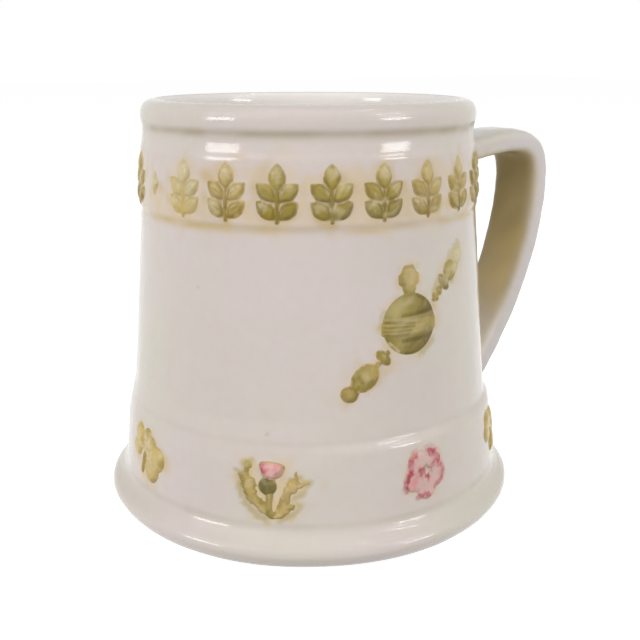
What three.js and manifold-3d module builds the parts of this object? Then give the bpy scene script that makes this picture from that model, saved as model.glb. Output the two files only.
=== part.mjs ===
// Commemorative mug: a glazed earthenware tankard with a strap handle, a frieze of
// laurel sprays below the rim, royal regalia on the barrel and flower emblems round the foot.
// Units are millimetres, +Z is up, and the handle points along +X.
import * as THREE from 'three';
import { mergeVertices } from 'three/addons/utils/BufferGeometryUtils.js';
import Module from 'manifold-3d';

const wasm = await Module();
wasm.setup();

const { degToRad, lerp } = THREE.MathUtils;

// Heights of the body's zones, stacked from the table up to the rim
const FOOT_HEIGHT = 10.5;
const EMBLEM_BAND_HEIGHT = 14.7;
const LEDGE_HEIGHT = 2.6;
const BARREL_HEIGHT = 46.9;
const FRIEZE_STEP_HEIGHT = 0.9;
const FRIEZE_HEIGHT = 13.1;
const NECK_HEIGHT = 5.9;
const RIM_HEIGHT = 5.4;

// Outer radii of the body, from the table up to the rim
const FOOT_RING_RADIUS = 47;
const FOOT_RADIUS = 52;
const EMBLEM_BAND_BOTTOM_RADIUS = 48.1;
const EMBLEM_BAND_TOP_RADIUS = 46.6;
const BARREL_BOTTOM_RADIUS = 45.2;
const BARREL_TOP_RADIUS = 41.3;
const FRIEZE_BOTTOM_RADIUS = 41.7;
const FRIEZE_TOP_RADIUS = 40.8;
const NECK_RADIUS = 39.6;
const RIM_RADIUS = 40.5;
const LIP_CREST_RADIUS = 37;

// Roundings of the outer line: the foot's roll and flare, the sloping neck and the rim's bead
const FOOT_TUCK = 1.2;
const FOOT_WIDEST_LEVEL = 3.6;
const FOOT_ROLL_RISE = 1.2;
const FOOT_FLARE_WIDTH = 2;
const FOOT_FLARE_DROP = 4.3;
const NECK_SHOULDER_RISE = 1;
const RIM_UNDERCUT = 0.3;
const RIM_SWELL_RISE = 1.8;

// Inside of the body and its underside
const MOUTH_RADIUS = 36;
const LIP_DEPTH = 2.7;
const WALL_THICKNESS = 4.9;
const FLOOR_LEVEL = 7.2;
const FLOOR_CORNER_RADIUS = 8;
const FOOT_RING_WIDTH = 4.4;
const UNDERSIDE_RECESS = 2.2;

// Handle: a strap that leaves the frieze, turns a soft corner and lands on the emblem band
const HANDLE_WIDTH = 17;
const HANDLE_THICKNESS_TOP = 6.6;
const HANDLE_THICKNESS_LOW = 6.8;
const HANDLE_EDGE_ROUNDING = 1.8;
const HANDLE_ROOT_SPREAD = 1.6;
const HANDLE_ROOT_EASE = 8;
const HANDLE_ROOT_DEPTH = 1.5;
const HANDLE_STANDOFF = 32.7;
const HANDLE_TOP_ROOT_RISE = 8.4;
const HANDLE_SHOULDER_RISE = 2.5;
const HANDLE_SHOULDER_LENGTH = 22;
const HANDLE_BEND_DROP = 8.7;
const HANDLE_UPPER_BEND = 16.9;
const HANDLE_LOWER_BEND = 24.7;
const HANDLE_LOW_ROOT_RISE = 4.5;
const HANDLE_LANDING_LENGTH = 11.5;
const HANDLE_LANDING_ANGLE = degToRad(36);

// Applied reliefs, called sprigs: each is pressed by itself and stuck on to the wall
const SPRIG_GAP = 0.3;
const FRIEZE_RELIEF = 0.7;
const EMBLEM_RELIEF = 0.7;
const REGALIA_RELIEF = 0.7;
const RAISED_RELIEF = 1;
const FRIEZE_MARGIN = 0.2;
const FRIEZE_SPACE = 1.2;
const FRIEZE_HANDLE_CLEARANCE = 0.6;
const EMBLEM_COUNT = 7;
const EMBLEM_FIRST_ANGLE = degToRad(-46.6);
const EMBLEM_STEP_ANGLE = degToRad(-43.5);
const EMBLEM_MARGIN = 0.8;
const REGALIA_ANGLE = degToRad(-92);
const REGALIA_RISE = 1.8;

// Facets
const BODY_SEGMENTS = 60;
const PROFILE_STEPS = 5;
const HANDLE_STEPS = 30;
const HANDLE_ROUNDING_STEPS = 2;
const LEAF_STEPS = 4;
const DISC_SIDES = 12;
const ORB_SIDES = 28;

// Levels that follow from the stacked heights
const emblemBandLevel = FOOT_HEIGHT;
const ledgeLevel = emblemBandLevel + EMBLEM_BAND_HEIGHT;
const barrelLevel = ledgeLevel + LEDGE_HEIGHT;
const friezeStepLevel = barrelLevel + BARREL_HEIGHT;
const friezeLevel = friezeStepLevel + FRIEZE_STEP_HEIGHT;
const neckLevel = friezeLevel + FRIEZE_HEIGHT;
const rimLevel = neckLevel + NECK_HEIGHT;
const crestLevel = rimLevel + RIM_HEIGHT;

const GLAZE = new THREE.MeshStandardMaterial({ color: 0xd9d0c5, roughness: 0.14, metalness: 0 });
const OLIVE = new THREE.MeshStandardMaterial({ color: 0x9a9350, roughness: 0.2, metalness: 0 });
const GREEN = new THREE.MeshStandardMaterial({ color: 0x8c8f4f, roughness: 0.2, metalness: 0 });
const ROSE = new THREE.MeshStandardMaterial({ color: 0xd68ba0, roughness: 0.2, metalness: 0 });

// The body's outer line, from the edge of the foot ring up to the crest of the lip
function outerLine() {
  const line = new THREE.Path();
  line.moveTo(FOOT_RING_RADIUS, 0);
  line.quadraticCurveTo(FOOT_RADIUS - FOOT_TUCK, 0, FOOT_RADIUS, FOOT_WIDEST_LEVEL);
  line.bezierCurveTo(
    FOOT_RADIUS, FOOT_WIDEST_LEVEL + FOOT_ROLL_RISE,
    FOOT_RADIUS - FOOT_FLARE_WIDTH, emblemBandLevel - FOOT_FLARE_DROP,
    EMBLEM_BAND_BOTTOM_RADIUS, emblemBandLevel,
  );
  line.lineTo(EMBLEM_BAND_TOP_RADIUS, ledgeLevel);
  line.quadraticCurveTo(
    EMBLEM_BAND_TOP_RADIUS, ledgeLevel + LEDGE_HEIGHT / 2,
    BARREL_BOTTOM_RADIUS, barrelLevel,
  );
  line.lineTo(BARREL_TOP_RADIUS, friezeStepLevel);
  line.lineTo(FRIEZE_BOTTOM_RADIUS, friezeLevel);
  line.lineTo(FRIEZE_TOP_RADIUS, neckLevel);
  const undercutLevel = rimLevel - RIM_UNDERCUT;
  line.quadraticCurveTo(
    FRIEZE_TOP_RADIUS, neckLevel + NECK_SHOULDER_RISE,
    NECK_RADIUS, undercutLevel,
  );
  line.quadraticCurveTo(RIM_RADIUS, undercutLevel, RIM_RADIUS, rimLevel + RIM_SWELL_RISE);
  line.quadraticCurveTo(RIM_RADIUS, crestLevel, LIP_CREST_RADIUS, crestLevel);
  return line.getPoints(PROFILE_STEPS);
}

const wallLine = outerLine();

// Outer radius of the body at a level
function wallRadius(level) {
  const above = wallLine.findIndex((point) => point.y >= level);
  const high = wallLine[above];
  const low = wallLine[Math.max(above - 1, 0)];
  const share = high.y > low.y ? (level - low.y) / (high.y - low.y) : 0;
  return low.x + (high.x - low.x) * share;
}

// The body's inner line, from the crest of the lip down to the middle of the floor
function innerLine() {
  const inside = new THREE.Path();
  inside.moveTo(LIP_CREST_RADIUS, crestLevel);
  inside.quadraticCurveTo(MOUTH_RADIUS, crestLevel, MOUTH_RADIUS, crestLevel - LIP_DEPTH);
  inside.lineTo(FRIEZE_TOP_RADIUS - WALL_THICKNESS, neckLevel);
  const floorRadius = wallRadius(barrelLevel) - WALL_THICKNESS;
  inside.lineTo(floorRadius, FLOOR_LEVEL + FLOOR_CORNER_RADIUS);
  inside.quadraticCurveTo(floorRadius, FLOOR_LEVEL, floorRadius - FLOOR_CORNER_RADIUS, FLOOR_LEVEL);
  inside.lineTo(0, FLOOR_LEVEL);
  return inside.getPoints(PROFILE_STEPS).slice(1);
}

// A solid of revolution about +Z from a line of (radius, level) points
function turned(points) {
  return new THREE.LatheGeometry(points, BODY_SEGMENTS).rotateX(Math.PI / 2);
}

function solid(geometry) {
  const bare = geometry.clone();
  bare.deleteAttribute('normal');
  bare.deleteAttribute('uv');
  const merged = mergeVertices(bare, 1e-4);
  return new wasm.Manifold(new wasm.Mesh({
    numProp: 3,
    vertProperties: new Float32Array(merged.attributes.position.array),
    triVerts: new Uint32Array(merged.index.array),
  }));
}

function geometryOf(body) {
  const mesh = body.getMesh();
  const geometry = new THREE.BufferGeometry();
  geometry.setAttribute('position', new THREE.BufferAttribute(mesh.vertProperties, 3));
  geometry.setIndex(new THREE.BufferAttribute(mesh.triVerts, 1));
  geometry.computeVertexNormals();
  return geometry;
}

function piece(name, geometry, material, angle = 0) {
  const mesh = new THREE.Mesh(geometry, material);
  mesh.name = name;
  mesh.rotation.z = angle;
  return mesh;
}

function vesselGeometry() {
  const ringInside = FOOT_RING_RADIUS - FOOT_RING_WIDTH;
  const underside = [
    new THREE.Vector2(0, UNDERSIDE_RECESS),
    new THREE.Vector2(ringInside - UNDERSIDE_RECESS, UNDERSIDE_RECESS),
    new THREE.Vector2(ringInside, 0),
  ];
  return turned([...underside, ...wallLine, ...innerLine()]);
}

// Everything inside the body's outer wall, grown by the gap that an applied piece keeps
function wallClearance() {
  const line = wallLine.map((point) => new THREE.Vector2(point.x + SPRIG_GAP, point.y));
  return solid(turned([new THREE.Vector2(0, 0), ...line, new THREE.Vector2(0, crestLevel)]));
}

const handleReach = BARREL_TOP_RADIUS + HANDLE_STANDOFF;

// The middle line of the strap in the plane of the handle, as (radius, level)
function handlePath() {
  const topLevel = friezeLevel + HANDLE_TOP_ROOT_RISE;
  const lowLevel = emblemBandLevel + HANDLE_LOW_ROOT_RISE;
  const bendLevel = topLevel - HANDLE_BEND_DROP;
  const topRoot = wallRadius(topLevel) - HANDLE_ROOT_DEPTH;
  const lowRoot = wallRadius(lowLevel) - HANDLE_ROOT_DEPTH;
  const bend = new THREE.Vector2(handleReach, bendLevel);
  const path = new THREE.CurvePath();
  path.add(new THREE.CubicBezierCurve(
    new THREE.Vector2(topRoot, topLevel),
    new THREE.Vector2(topRoot + HANDLE_SHOULDER_LENGTH, topLevel + HANDLE_SHOULDER_RISE),
    new THREE.Vector2(handleReach, bendLevel + HANDLE_UPPER_BEND),
    bend,
  ));
  path.add(new THREE.CubicBezierCurve(
    bend,
    new THREE.Vector2(handleReach, bendLevel - HANDLE_LOWER_BEND),
    new THREE.Vector2(
      lowRoot + HANDLE_LANDING_LENGTH * Math.cos(HANDLE_LANDING_ANGLE),
      lowLevel + HANDLE_LANDING_LENGTH * Math.sin(HANDLE_LANDING_ANGLE),
    ),
    new THREE.Vector2(lowRoot, lowLevel),
  ));
  return path;
}

// The strap's side view, thicker at both roots, given a width and soft edges, and cut to the wall
function handleGeometry() {
  const path = handlePath();
  const outside = [];
  const inside = [];
  for (let step = 0; step <= HANDLE_STEPS; step += 1) {
    const share = step / HANDLE_STEPS;
    const point = path.getPointAt(share);
    const along = path.getTangentAt(share);
    const normal = new THREE.Vector2(-along.y, along.x);
    const nearRoot = Math.abs(2 * share - 1) ** HANDLE_ROOT_EASE;
    const thickness = lerp(HANDLE_THICKNESS_TOP, HANDLE_THICKNESS_LOW, share);
    const half = thickness / 2 + HANDLE_ROOT_SPREAD * nearRoot;
    outside.push(point.clone().addScaledVector(normal, half));
    inside.unshift(point.clone().addScaledVector(normal, -half));
  }
  const strap = new THREE.ExtrudeGeometry(new THREE.Shape([...outside, ...inside]), {
    depth: HANDLE_WIDTH - 2 * HANDLE_EDGE_ROUNDING,
    bevelThickness: HANDLE_EDGE_ROUNDING,
    bevelSize: HANDLE_EDGE_ROUNDING,
    bevelOffset: -HANDLE_EDGE_ROUNDING,
    bevelSegments: HANDLE_ROUNDING_STEPS,
  });
  strap.translate(0, 0, HANDLE_EDGE_ROUNDING - HANDLE_WIDTH / 2);
  strap.rotateX(Math.PI / 2);
  return geometryOf(solid(strap).subtract(wallClearance()));
}

// A pointed leaf from its base, turned by an angle from the upward direction, left side positive
function leaf(baseX, baseY, angle, length, width) {
  const place = (across, along) => new THREE.Vector2(across, along)
    .rotateAround(new THREE.Vector2(), angle)
    .add(new THREE.Vector2(baseX, baseY));
  const [base, tip] = [place(0, 0), place(0, length)];
  const [left, right] = [place(-width, length / 2), place(width, length / 2)];
  const shape = new THREE.Shape();
  shape.moveTo(base.x, base.y);
  shape.quadraticCurveTo(right.x, right.y, tip.x, tip.y);
  shape.quadraticCurveTo(left.x, left.y, base.x, base.y);
  return shape;
}

function disc(x, y, radiusX, radiusY = radiusX, angle = 0, sides = DISC_SIDES) {
  const ellipse = new THREE.EllipseCurve(x, y, radiusX, radiusY, 0, 2 * Math.PI, false, angle);
  return new THREE.Shape(ellipse.getPoints(sides).slice(0, sides));
}

function outline(...corners) {
  return new THREE.Shape(corners.map(([x, y]) => new THREE.Vector2(x, y)));
}

// A ring of clay that follows the wall and stands out from it by the gap and the relief
function reliefShell(lowLevel, highLevel, relief) {
  const between = wallLine.filter((point) => point.y > lowLevel && point.y < highLevel);
  const face = [
    new THREE.Vector2(wallRadius(lowLevel), lowLevel),
    ...between,
    new THREE.Vector2(wallRadius(highLevel), highLevel),
  ];
  const front = face.map((point) => new THREE.Vector2(point.x + SPRIG_GAP + relief, point.y));
  const back = face.map((point) => new THREE.Vector2(point.x + SPRIG_GAP, point.y)).reverse();
  return solid(turned([...front, ...back, front[0].clone()]));
}

// Shapes drawn across and up the wall about a level, cut from the shell on the +X side
function reliefBody(shapes, level, halfHeight, relief) {
  const radius = wallRadius(level);
  const prisms = shapes.map((shape) => {
    const block = new THREE.ExtrudeGeometry(shape, {
      depth: radius,
      bevelEnabled: false,
      curveSegments: LEAF_STEPS,
    });
    const standing = new THREE.Matrix4().makeBasis(
      new THREE.Vector3(0, 1, 0),
      new THREE.Vector3(0, 0, 1),
      new THREE.Vector3(1, 0, 0),
    );
    block.applyMatrix4(standing.setPosition(radius / 2, 0, level));
    return solid(block);
  });
  const outlineSolid = prisms.reduce((sum, prism) => sum.add(prism));
  return outlineSolid.intersect(reliefShell(level - halfHeight, level + halfHeight, relief));
}

// Laurel spray of the frieze: a stem, an end leaf and pairs of side leaves
const LAUREL = {
  stemWidth: 1.5,
  endLeaf: { length: 6.1, width: 3.9 },
  sideLeaf: { length: 6, width: 3.6, angle: degToRad(50), pairs: 2, lowest: 0.9, spacing: 3.7 },
};
const LOZENGE = { halfWidth: 1.7, halfHeight: 3 };
const laurelHalfHeight = FRIEZE_HEIGHT / 2 - FRIEZE_MARGIN;
const laurelWidth = 2 * (LAUREL.sideLeaf.length * Math.sin(LAUREL.sideLeaf.angle))
  + LAUREL.sideLeaf.width / 4;

function laurelShapes() {
  const { stemWidth, endLeaf, sideLeaf } = LAUREL;
  const endBase = laurelHalfHeight - endLeaf.length;
  const stemTop = endBase + stemWidth;
  const shapes = [
    leaf(0, endBase, 0, endLeaf.length, endLeaf.width),
    outline([-stemWidth / 2, -laurelHalfHeight], [stemWidth / 2, -laurelHalfHeight],
      [stemWidth / 3, stemTop], [-stemWidth / 3, stemTop]),
  ];
  for (let pair = 0; pair < sideLeaf.pairs; pair += 1) {
    const base = sideLeaf.lowest - laurelHalfHeight + pair * sideLeaf.spacing;
    for (const side of [-1, 1]) {
      shapes.push(leaf(0, base, side * sideLeaf.angle, sideLeaf.length, sideLeaf.width));
    }
  }
  return shapes;
}

// The three emblems are drawn in emblem radii, so they follow the height of their band
const emblemRadius = EMBLEM_BAND_HEIGHT / 2 - EMBLEM_MARGIN;
const inEmblem = (sizes) => Object.fromEntries(
  Object.entries(sizes).map(([name, share]) => [name, share * emblemRadius]),
);

// Rose: petals round a raised eye, one of them pointing down
const ROSE_PETALS = 5;
const ROSE_SIZE = inEmblem({
  petalRadius: 0.45, petalCentre: 0.53, eyeRadius: 0.27, middleX: 0.14, middleY: 0.12,
});

function roseShapes() {
  const { petalRadius, petalCentre, middleX, middleY } = ROSE_SIZE;
  const shapes = [];
  for (let index = 0; index < ROSE_PETALS; index += 1) {
    const angle = Math.PI + (2 * Math.PI * index) / ROSE_PETALS;
    const x = middleX - petalCentre * Math.sin(angle);
    const y = middleY + petalCentre * Math.cos(angle);
    shapes.push(disc(x, y, petalRadius));
  }
  return shapes;
}

function roseEye() {
  const { eyeRadius, middleX, middleY } = ROSE_SIZE;
  return disc(middleX, middleY, eyeRadius);
}

// Thistle: a tuft on a round head between two jagged leaves, all from one foot, in emblem radii
const THISTLE_HEAD = [-0.09, 0.14, 0.32];
const THISTLE_TUFT = [[-0.25, 0.38], [0.1, 0.36], [0.32, 0.47], [0.41, 0.53], [0.53, 0.85],
  [0.34, 0.93], [0, 0.98], [-0.43, 0.95]];
const THISTLE_STEM = [[-0.15, -0.05], [-0.14, -0.61], [-0.03, -1], [0.2, -1], [0.04, -0.61],
  [0.12, -0.05]];
const THISTLE_LEFT_LEAF = [[0.05, -1], [-0.15, -0.93], [-0.46, -0.69], [-0.76, -0.43],
  [-0.93, -0.11], [-1.04, 0.17], [-1.07, 0.38], [-1.25, 0.53], [-0.95, 0.53], [-0.92, 0.84],
  [-0.84, 0.96], [-0.66, 0.93], [-0.63, 0.78], [-0.75, 0.63], [-0.73, 0.44], [-0.56, 0.41],
  [-0.5, 0.21], [-0.5, 0.02], [-0.44, -0.15], [-0.29, -0.32], [-0.18, -0.5], [-0.08, -0.69],
  [0.05, -0.84]];
const THISTLE_RIGHT_LEAF = [[0.1, -1], [0.4, -0.99], [0.64, -0.78], [0.76, -0.63], [0.99, -0.5],
  [0.7, -0.47], [0.64, -0.32], [0.75, -0.11], [0.92, 0.02], [1.11, 0.17], [1.37, 0.32],
  [1.22, 0.34], [1.01, 0.26], [0.95, 0.41], [0.9, 0.53], [0.87, 0.82], [0.81, 0.53],
  [0.67, 0.38], [0.55, 0.23], [0.46, 0.02], [0.37, -0.21], [0.26, -0.46], [0.23, -0.69],
  [0.1, -0.84]];

function thistleShapes() {
  const sized = (corners) => outline(...corners.map((corner) => (
    corner.map((share) => share * emblemRadius)
  )));
  const head = disc(...THISTLE_HEAD.map((share) => share * emblemRadius));
  const drawn = [THISTLE_TUFT, THISTLE_STEM, THISTLE_LEFT_LEAF, THISTLE_RIGHT_LEAF];
  return [head, ...drawn.map(sized)];
}

// Shamrock: uneven leaflets, each of two lobes and given as [direction, size], on a bent stem
const SHAMROCK_LEAFLETS = [[degToRad(72), 1.1], [degToRad(-33), 0.82], [degToRad(-122), 1.32]];
const SHAMROCK_LOBE_SPREAD = degToRad(21);
const SHAMROCK_SIZE = inEmblem({
  lobeRadius: 0.36, lobeCentre: 0.62, leafletLength: 0.85, middleX: -0.23, middleY: 0.2,
  stemWidth: 0.2, stemFootX: -0.41, stemFootY: -0.78,
});

function shamrockShapes() {
  const { lobeRadius, lobeCentre, leafletLength, middleX, middleY } = SHAMROCK_SIZE;
  const { stemWidth, stemFootX, stemFootY } = SHAMROCK_SIZE;
  const stemHalf = stemWidth / 2;
  const shapes = [outline([middleX - stemHalf, middleY], [stemFootX - stemHalf, stemFootY],
    [stemFootX + stemHalf, stemFootY], [middleX + stemHalf, middleY])];
  for (const [direction, size] of SHAMROCK_LEAFLETS) {
    for (const side of [-1, 1]) {
      const angle = direction + side * SHAMROCK_LOBE_SPREAD;
      const x = middleX - size * lobeCentre * Math.sin(angle);
      const y = middleY + size * lobeCentre * Math.cos(angle);
      shapes.push(disc(x, y, size * lobeRadius));
    }
    shapes.push(leaf(middleX, middleY, direction, size * leafletLength, size * lobeRadius));
  }
  return shapes;
}

// Orb with its belt and the cross on top
const ORB = {
  radiusX: 7.1,
  radiusY: 6.9,
  belt: { reach: 7.3, half: 2.15, drop: 0.55 },
  cross: {
    footHalf: 1.8, topHalf: 2, sink: 0.6, height: 6.1, armRise: 1.4, armHalf: 2.8, armHeight: 3.3,
  },
};

function bar(halfWidth, low, high, topHalfWidth = halfWidth) {
  return outline([-halfWidth, low], [halfWidth, low], [topHalfWidth, high], [-topHalfWidth, high]);
}

function orbShapes() {
  const { radiusX, radiusY, cross } = ORB;
  const armLow = radiusY + cross.armRise;
  return [
    disc(0, 0, radiusX, radiusY, 0, ORB_SIDES),
    bar(cross.footHalf, radiusY - cross.sink, radiusY + cross.height, cross.topHalf),
    bar(cross.armHalf, armLow, armLow + cross.armHeight),
  ];
}

function orbBelt() {
  const { reach, half, drop } = ORB.belt;
  return [bar(reach, -drop - half, -drop + half)];
}

// Sceptre behind the orb: rods and beads at distances along its slanting axis from the orb's edge,
// each bead as [distance, half length, half width], its upper part a little out of line
const SCEPTRE = {
  slant: degToRad(43.5),
  orbClearance: 0.6,
  rodHalf: 0.6,
  lower: {
    shift: 0,
    rod: 12.8,
    beads: [[2, 1.3, 2.3], [7.9, 3.7, 2.8], [12.8, 2, 2]],
  },
  upper: {
    shift: -1.65,
    rod: 12.6,
    beads: [[1.3, 0.9, 1.4], [2.9, 1, 1.3], [5.3, 1.3, 2.6], [8.6, 2.4, 2.6], [12.6, 2.5, 2.1]],
  },
};

function sceptreShapes({ shift, rod, beads }, direction) {
  const { slant, orbClearance, rodHalf } = SCEPTRE;
  const start = ORB.radiusX + orbClearance;
  const place = (along, across) => {
    const point = new THREE.Vector2(direction * along, direction * across + shift);
    return point.rotateAround(new THREE.Vector2(), slant).toArray();
  };
  return [
    outline(place(start, -rodHalf), place(start + rod, -rodHalf), place(start + rod, rodHalf),
      place(start, rodHalf)),
    ...beads.map(([along, halfLength, halfWidth]) => (
      disc(...place(start + along, 0), halfLength, halfWidth, slant)
    )),
  ];
}

// Frieze: evenly spaced from one side of the handle round to the other, with a lozenge at both
// ends and in the middle, opposite the handle
function addFrieze(mug) {
  const middle = friezeLevel + FRIEZE_HEIGHT / 2;
  const laurel = geometryOf(reliefBody(laurelShapes(), middle, laurelHalfHeight, FRIEZE_RELIEF));
  const diamond = outline([0, -LOZENGE.halfHeight], [LOZENGE.halfWidth, 0], [0, LOZENGE.halfHeight],
    [-LOZENGE.halfWidth, 0]);
  const lozenge = geometryOf(reliefBody([diamond], middle, LOZENGE.halfHeight, FRIEZE_RELIEF));
  const radius = wallRadius(middle);
  const handleEdge = Math.asin((HANDLE_WIDTH / 2 + FRIEZE_HANDLE_CLEARANCE) / radius);
  const arc = 2 * (Math.PI - handleEdge);
  const pairs = Math.floor(((arc * radius) / (laurelWidth + FRIEZE_SPACE) - 1) / 2);
  const count = 2 * pairs + 1;
  for (let place = 0; place < count; place += 1) {
    const angle = handleEdge + (arc * (place + 1 / 2)) / count;
    const isLozenge = [0, pairs, count - 1].includes(place);
    const name = isLozenge ? 'frieze_lozenge' : 'frieze_laurel';
    mug.add(piece(`${name}_${place + 1}`, isLozenge ? lozenge : laurel, OLIVE, angle));
  }
}

// Emblems: shamrock, rose and thistle in turn round the band above the foot, none at the handle
function addEmblems(mug) {
  const middle = emblemBandLevel + EMBLEM_BAND_HEIGHT / 2;
  const sprig = (shapes, relief) => reliefBody(shapes, middle, emblemRadius, relief);
  const eye = sprig([roseEye()], RAISED_RELIEF);
  const emblems = [
    { kind: 'shamrock', material: GREEN, body: sprig(shamrockShapes(), EMBLEM_RELIEF) },
    { kind: 'rose', material: ROSE, body: sprig(roseShapes(), EMBLEM_RELIEF).add(eye) },
    { kind: 'thistle', material: GREEN, body: sprig(thistleShapes(), EMBLEM_RELIEF) },
  ].map(({ body, ...rest }) => ({ ...rest, geometry: geometryOf(body) }));
  for (let place = 0; place < EMBLEM_COUNT; place += 1) {
    const { kind, geometry, material } = emblems[place % emblems.length];
    const angle = EMBLEM_FIRST_ANGLE + place * EMBLEM_STEP_ANGLE;
    mug.add(piece(`emblem_${kind}_${place + 1}`, geometry, material, angle));
  }
}

// Regalia on the barrel, a quarter turn from the handle
function addRegalia(mug) {
  const level = barrelLevel + BARREL_HEIGHT / 2 + REGALIA_RISE;
  const reach = BARREL_HEIGHT / 2 - REGALIA_RISE;
  const sprig = (shapes, relief) => reliefBody(shapes, level, reach, relief);
  const orb = sprig(orbShapes(), REGALIA_RELIEF).add(sprig(orbBelt(), RAISED_RELIEF));
  const lower = sprig(sceptreShapes(SCEPTRE.lower, -1), REGALIA_RELIEF);
  const upper = sprig(sceptreShapes(SCEPTRE.upper, 1), REGALIA_RELIEF);
  mug.add(piece('orb', geometryOf(orb), OLIVE, REGALIA_ANGLE));
  mug.add(piece('sceptre_lower', geometryOf(lower), OLIVE, REGALIA_ANGLE));
  mug.add(piece('sceptre_upper', geometryOf(upper), OLIVE, REGALIA_ANGLE));
}

const mug = new THREE.Group();
mug.add(piece('vessel', vesselGeometry(), GLAZE));
mug.add(piece('handle', handleGeometry(), GLAZE));
addFrieze(mug);
addEmblems(mug);
addRegalia(mug);

// The origin is under the middle of the whole outline, so the body's axis stands back from it
const handleTip = new THREE.Box3().setFromObject(mug.getObjectByName('handle')).max.x;
mug.position.x = (FOOT_RADIUS - handleTip) / 2;

const scene = new THREE.Group();
scene.add(mug);

export default scene;
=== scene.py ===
"""Commemorative mug: its looks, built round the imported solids.

Lengths here are millimetres until a mesh is made. The frame is the part's own: +Z up, the handle
along +X, and the body's axis a little to the -X side of the origin. The shapes are made round that
axis and moved to it last. Angles round the body start at the handle.
"""
import math

import bpy
import numpy as np
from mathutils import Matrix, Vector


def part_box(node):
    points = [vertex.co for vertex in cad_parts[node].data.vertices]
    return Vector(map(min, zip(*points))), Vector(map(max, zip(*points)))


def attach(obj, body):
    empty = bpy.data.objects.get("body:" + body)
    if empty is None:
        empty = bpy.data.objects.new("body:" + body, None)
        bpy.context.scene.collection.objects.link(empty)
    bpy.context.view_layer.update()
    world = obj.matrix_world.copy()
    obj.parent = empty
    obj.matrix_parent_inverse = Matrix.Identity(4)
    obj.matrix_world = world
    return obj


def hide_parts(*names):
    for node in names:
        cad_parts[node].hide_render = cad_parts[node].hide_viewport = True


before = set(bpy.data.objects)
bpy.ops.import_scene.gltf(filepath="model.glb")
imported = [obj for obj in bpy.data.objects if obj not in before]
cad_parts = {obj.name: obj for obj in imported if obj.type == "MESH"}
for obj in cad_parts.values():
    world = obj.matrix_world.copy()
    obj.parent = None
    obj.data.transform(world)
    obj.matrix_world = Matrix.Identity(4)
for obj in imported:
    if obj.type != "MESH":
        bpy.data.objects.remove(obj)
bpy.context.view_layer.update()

MM = 0.001
SEED = 11
WAVES = 9
AXIS_X = (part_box("vessel")[0].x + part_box("vessel")[1].x) / 2 / MM
AXIS = np.array([AXIS_X, 0, 0])

# Levels of the body's zones above the table
FOOT_TOP = 10.5
LEDGE = 25.2
BARREL = 27.8
FRIEZE_STEP = 74.7
FRIEZE = 75.6
NECK = 88.7
RIM = 94.6
CREST = 100.0
FLOOR = 7.2

# Outer radii at those levels
FOOT_RING_RADIUS = 47.0
FOOT_RADIUS = 52.0
BAND_HIGH_RADIUS = 46.6
BARREL_LOW_RADIUS = 45.2
BARREL_HIGH_RADIUS = 41.3
FRIEZE_LOW_RADIUS = 41.7
FRIEZE_HIGH_RADIUS = 40.8
NECK_RADIUS = 39.6
RIM_RADIUS = 40.5
LIP_RADIUS = 37.0
MOUTH_RADIUS = 36.0

# Inside and underside
WALL = 4.9
LIP_DEPTH = 2.7
FLOOR_CORNER = 8
BASE_RECESS = 2.2

# Handle
HANDLE_WIDTH = 17.0
HANDLE_THICKNESS = (6.6, 6.8)
HANDLE_REACH = 74.0
HANDLE_FILLET = 2.2
HANDLE_TOP = FRIEZE + 8.4
HANDLE_LOW = FOOT_TOP + 4.5
HANDLE_BEND = HANDLE_TOP - 8.7
HANDLE_LANDING = math.radians(36)
HANDLE_SQUARENESS = 3.6
HANDLE_RIPPLES = [(0.05, 11, 41), (0.03, 4, 42)]
ROOT_DEPTH = 1.5
SECTION_HALF = (3, HANDLE_WIDTH / 2)

# Mesh fineness
SEGMENTS = 560
OUTSIDE_STEP = 0.3
INSIDE_STEP = 0.4
RELIEF_STEP = 0.14
HANDLE_STEP = 0.35
SECTION_STEP = 0.6


def srgb(red, green, blue):
    """Scene-linear colour of an sRGB colour given in 0 to 255"""
    share = np.array([red, green, blue]) / 255
    return np.where(share <= 0.04045, share / 12.92, ((share + 0.055) / 1.055) ** 2.4)


def mix(first, second, share):
    return first + (second - first) * np.asarray(share)[..., None]


def smooth(low, high, value):
    share = np.clip((value - low) / (high - low), 0, 1)
    return share * share * (3 - 2 * share)


def ripple(points, wavelength, seed):
    """A smooth random field of about unit size at points (..., 3) or (..., 2), fixed by its seed"""
    rng = np.random.default_rng(SEED * 1000 + seed)
    total = np.zeros(points.shape[:-1])
    for _ in range(WAVES):
        direction = rng.normal(size=points.shape[-1])
        direction /= np.linalg.norm(direction)
        turns = math.tau / (wavelength * rng.uniform(0.6, 1.7))
        total += np.cos(points @ direction * turns + rng.uniform(0, math.tau))
    return total * math.sqrt(2 / WAVES)


def rippled(points, ripples, base=0):
    """The base with ripples added to it, each as (size, wavelength, seed)"""
    return sum((size * ripple(points, wave, seed) for size, wave, seed in ripples), base)


# Curves

def bezier(*control, steps=60):
    control = [np.array(point, float) for point in control]
    share = np.linspace(0, 1, steps)[:, None]
    while len(control) > 1:
        control = [a + (b - a) * share for a, b in zip(control, control[1:])]
    return control[0]


def joined(*parts):
    return np.concatenate([parts[0]] + [part[1:] for part in parts[1:]])


def chained(start, runs, steps=60):
    """One line of curves, each from the end of the last through the points of its run"""
    parts = []
    for run in runs:
        parts.append(bezier(start, *run, steps=steps))
        start = run[-1]
    return joined(*parts)


def spaced(line, step):
    """The same line with points at an even spacing"""
    along = np.concatenate([[0], np.cumsum(np.linalg.norm(np.diff(line, axis=0), axis=1))])
    count = max(2, int(round(along[-1] / step)) + 1)
    at = np.linspace(0, along[-1], count)
    return np.stack([np.interp(at, along, line[:, axis]) for axis in range(line.shape[1])], 1)


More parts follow.
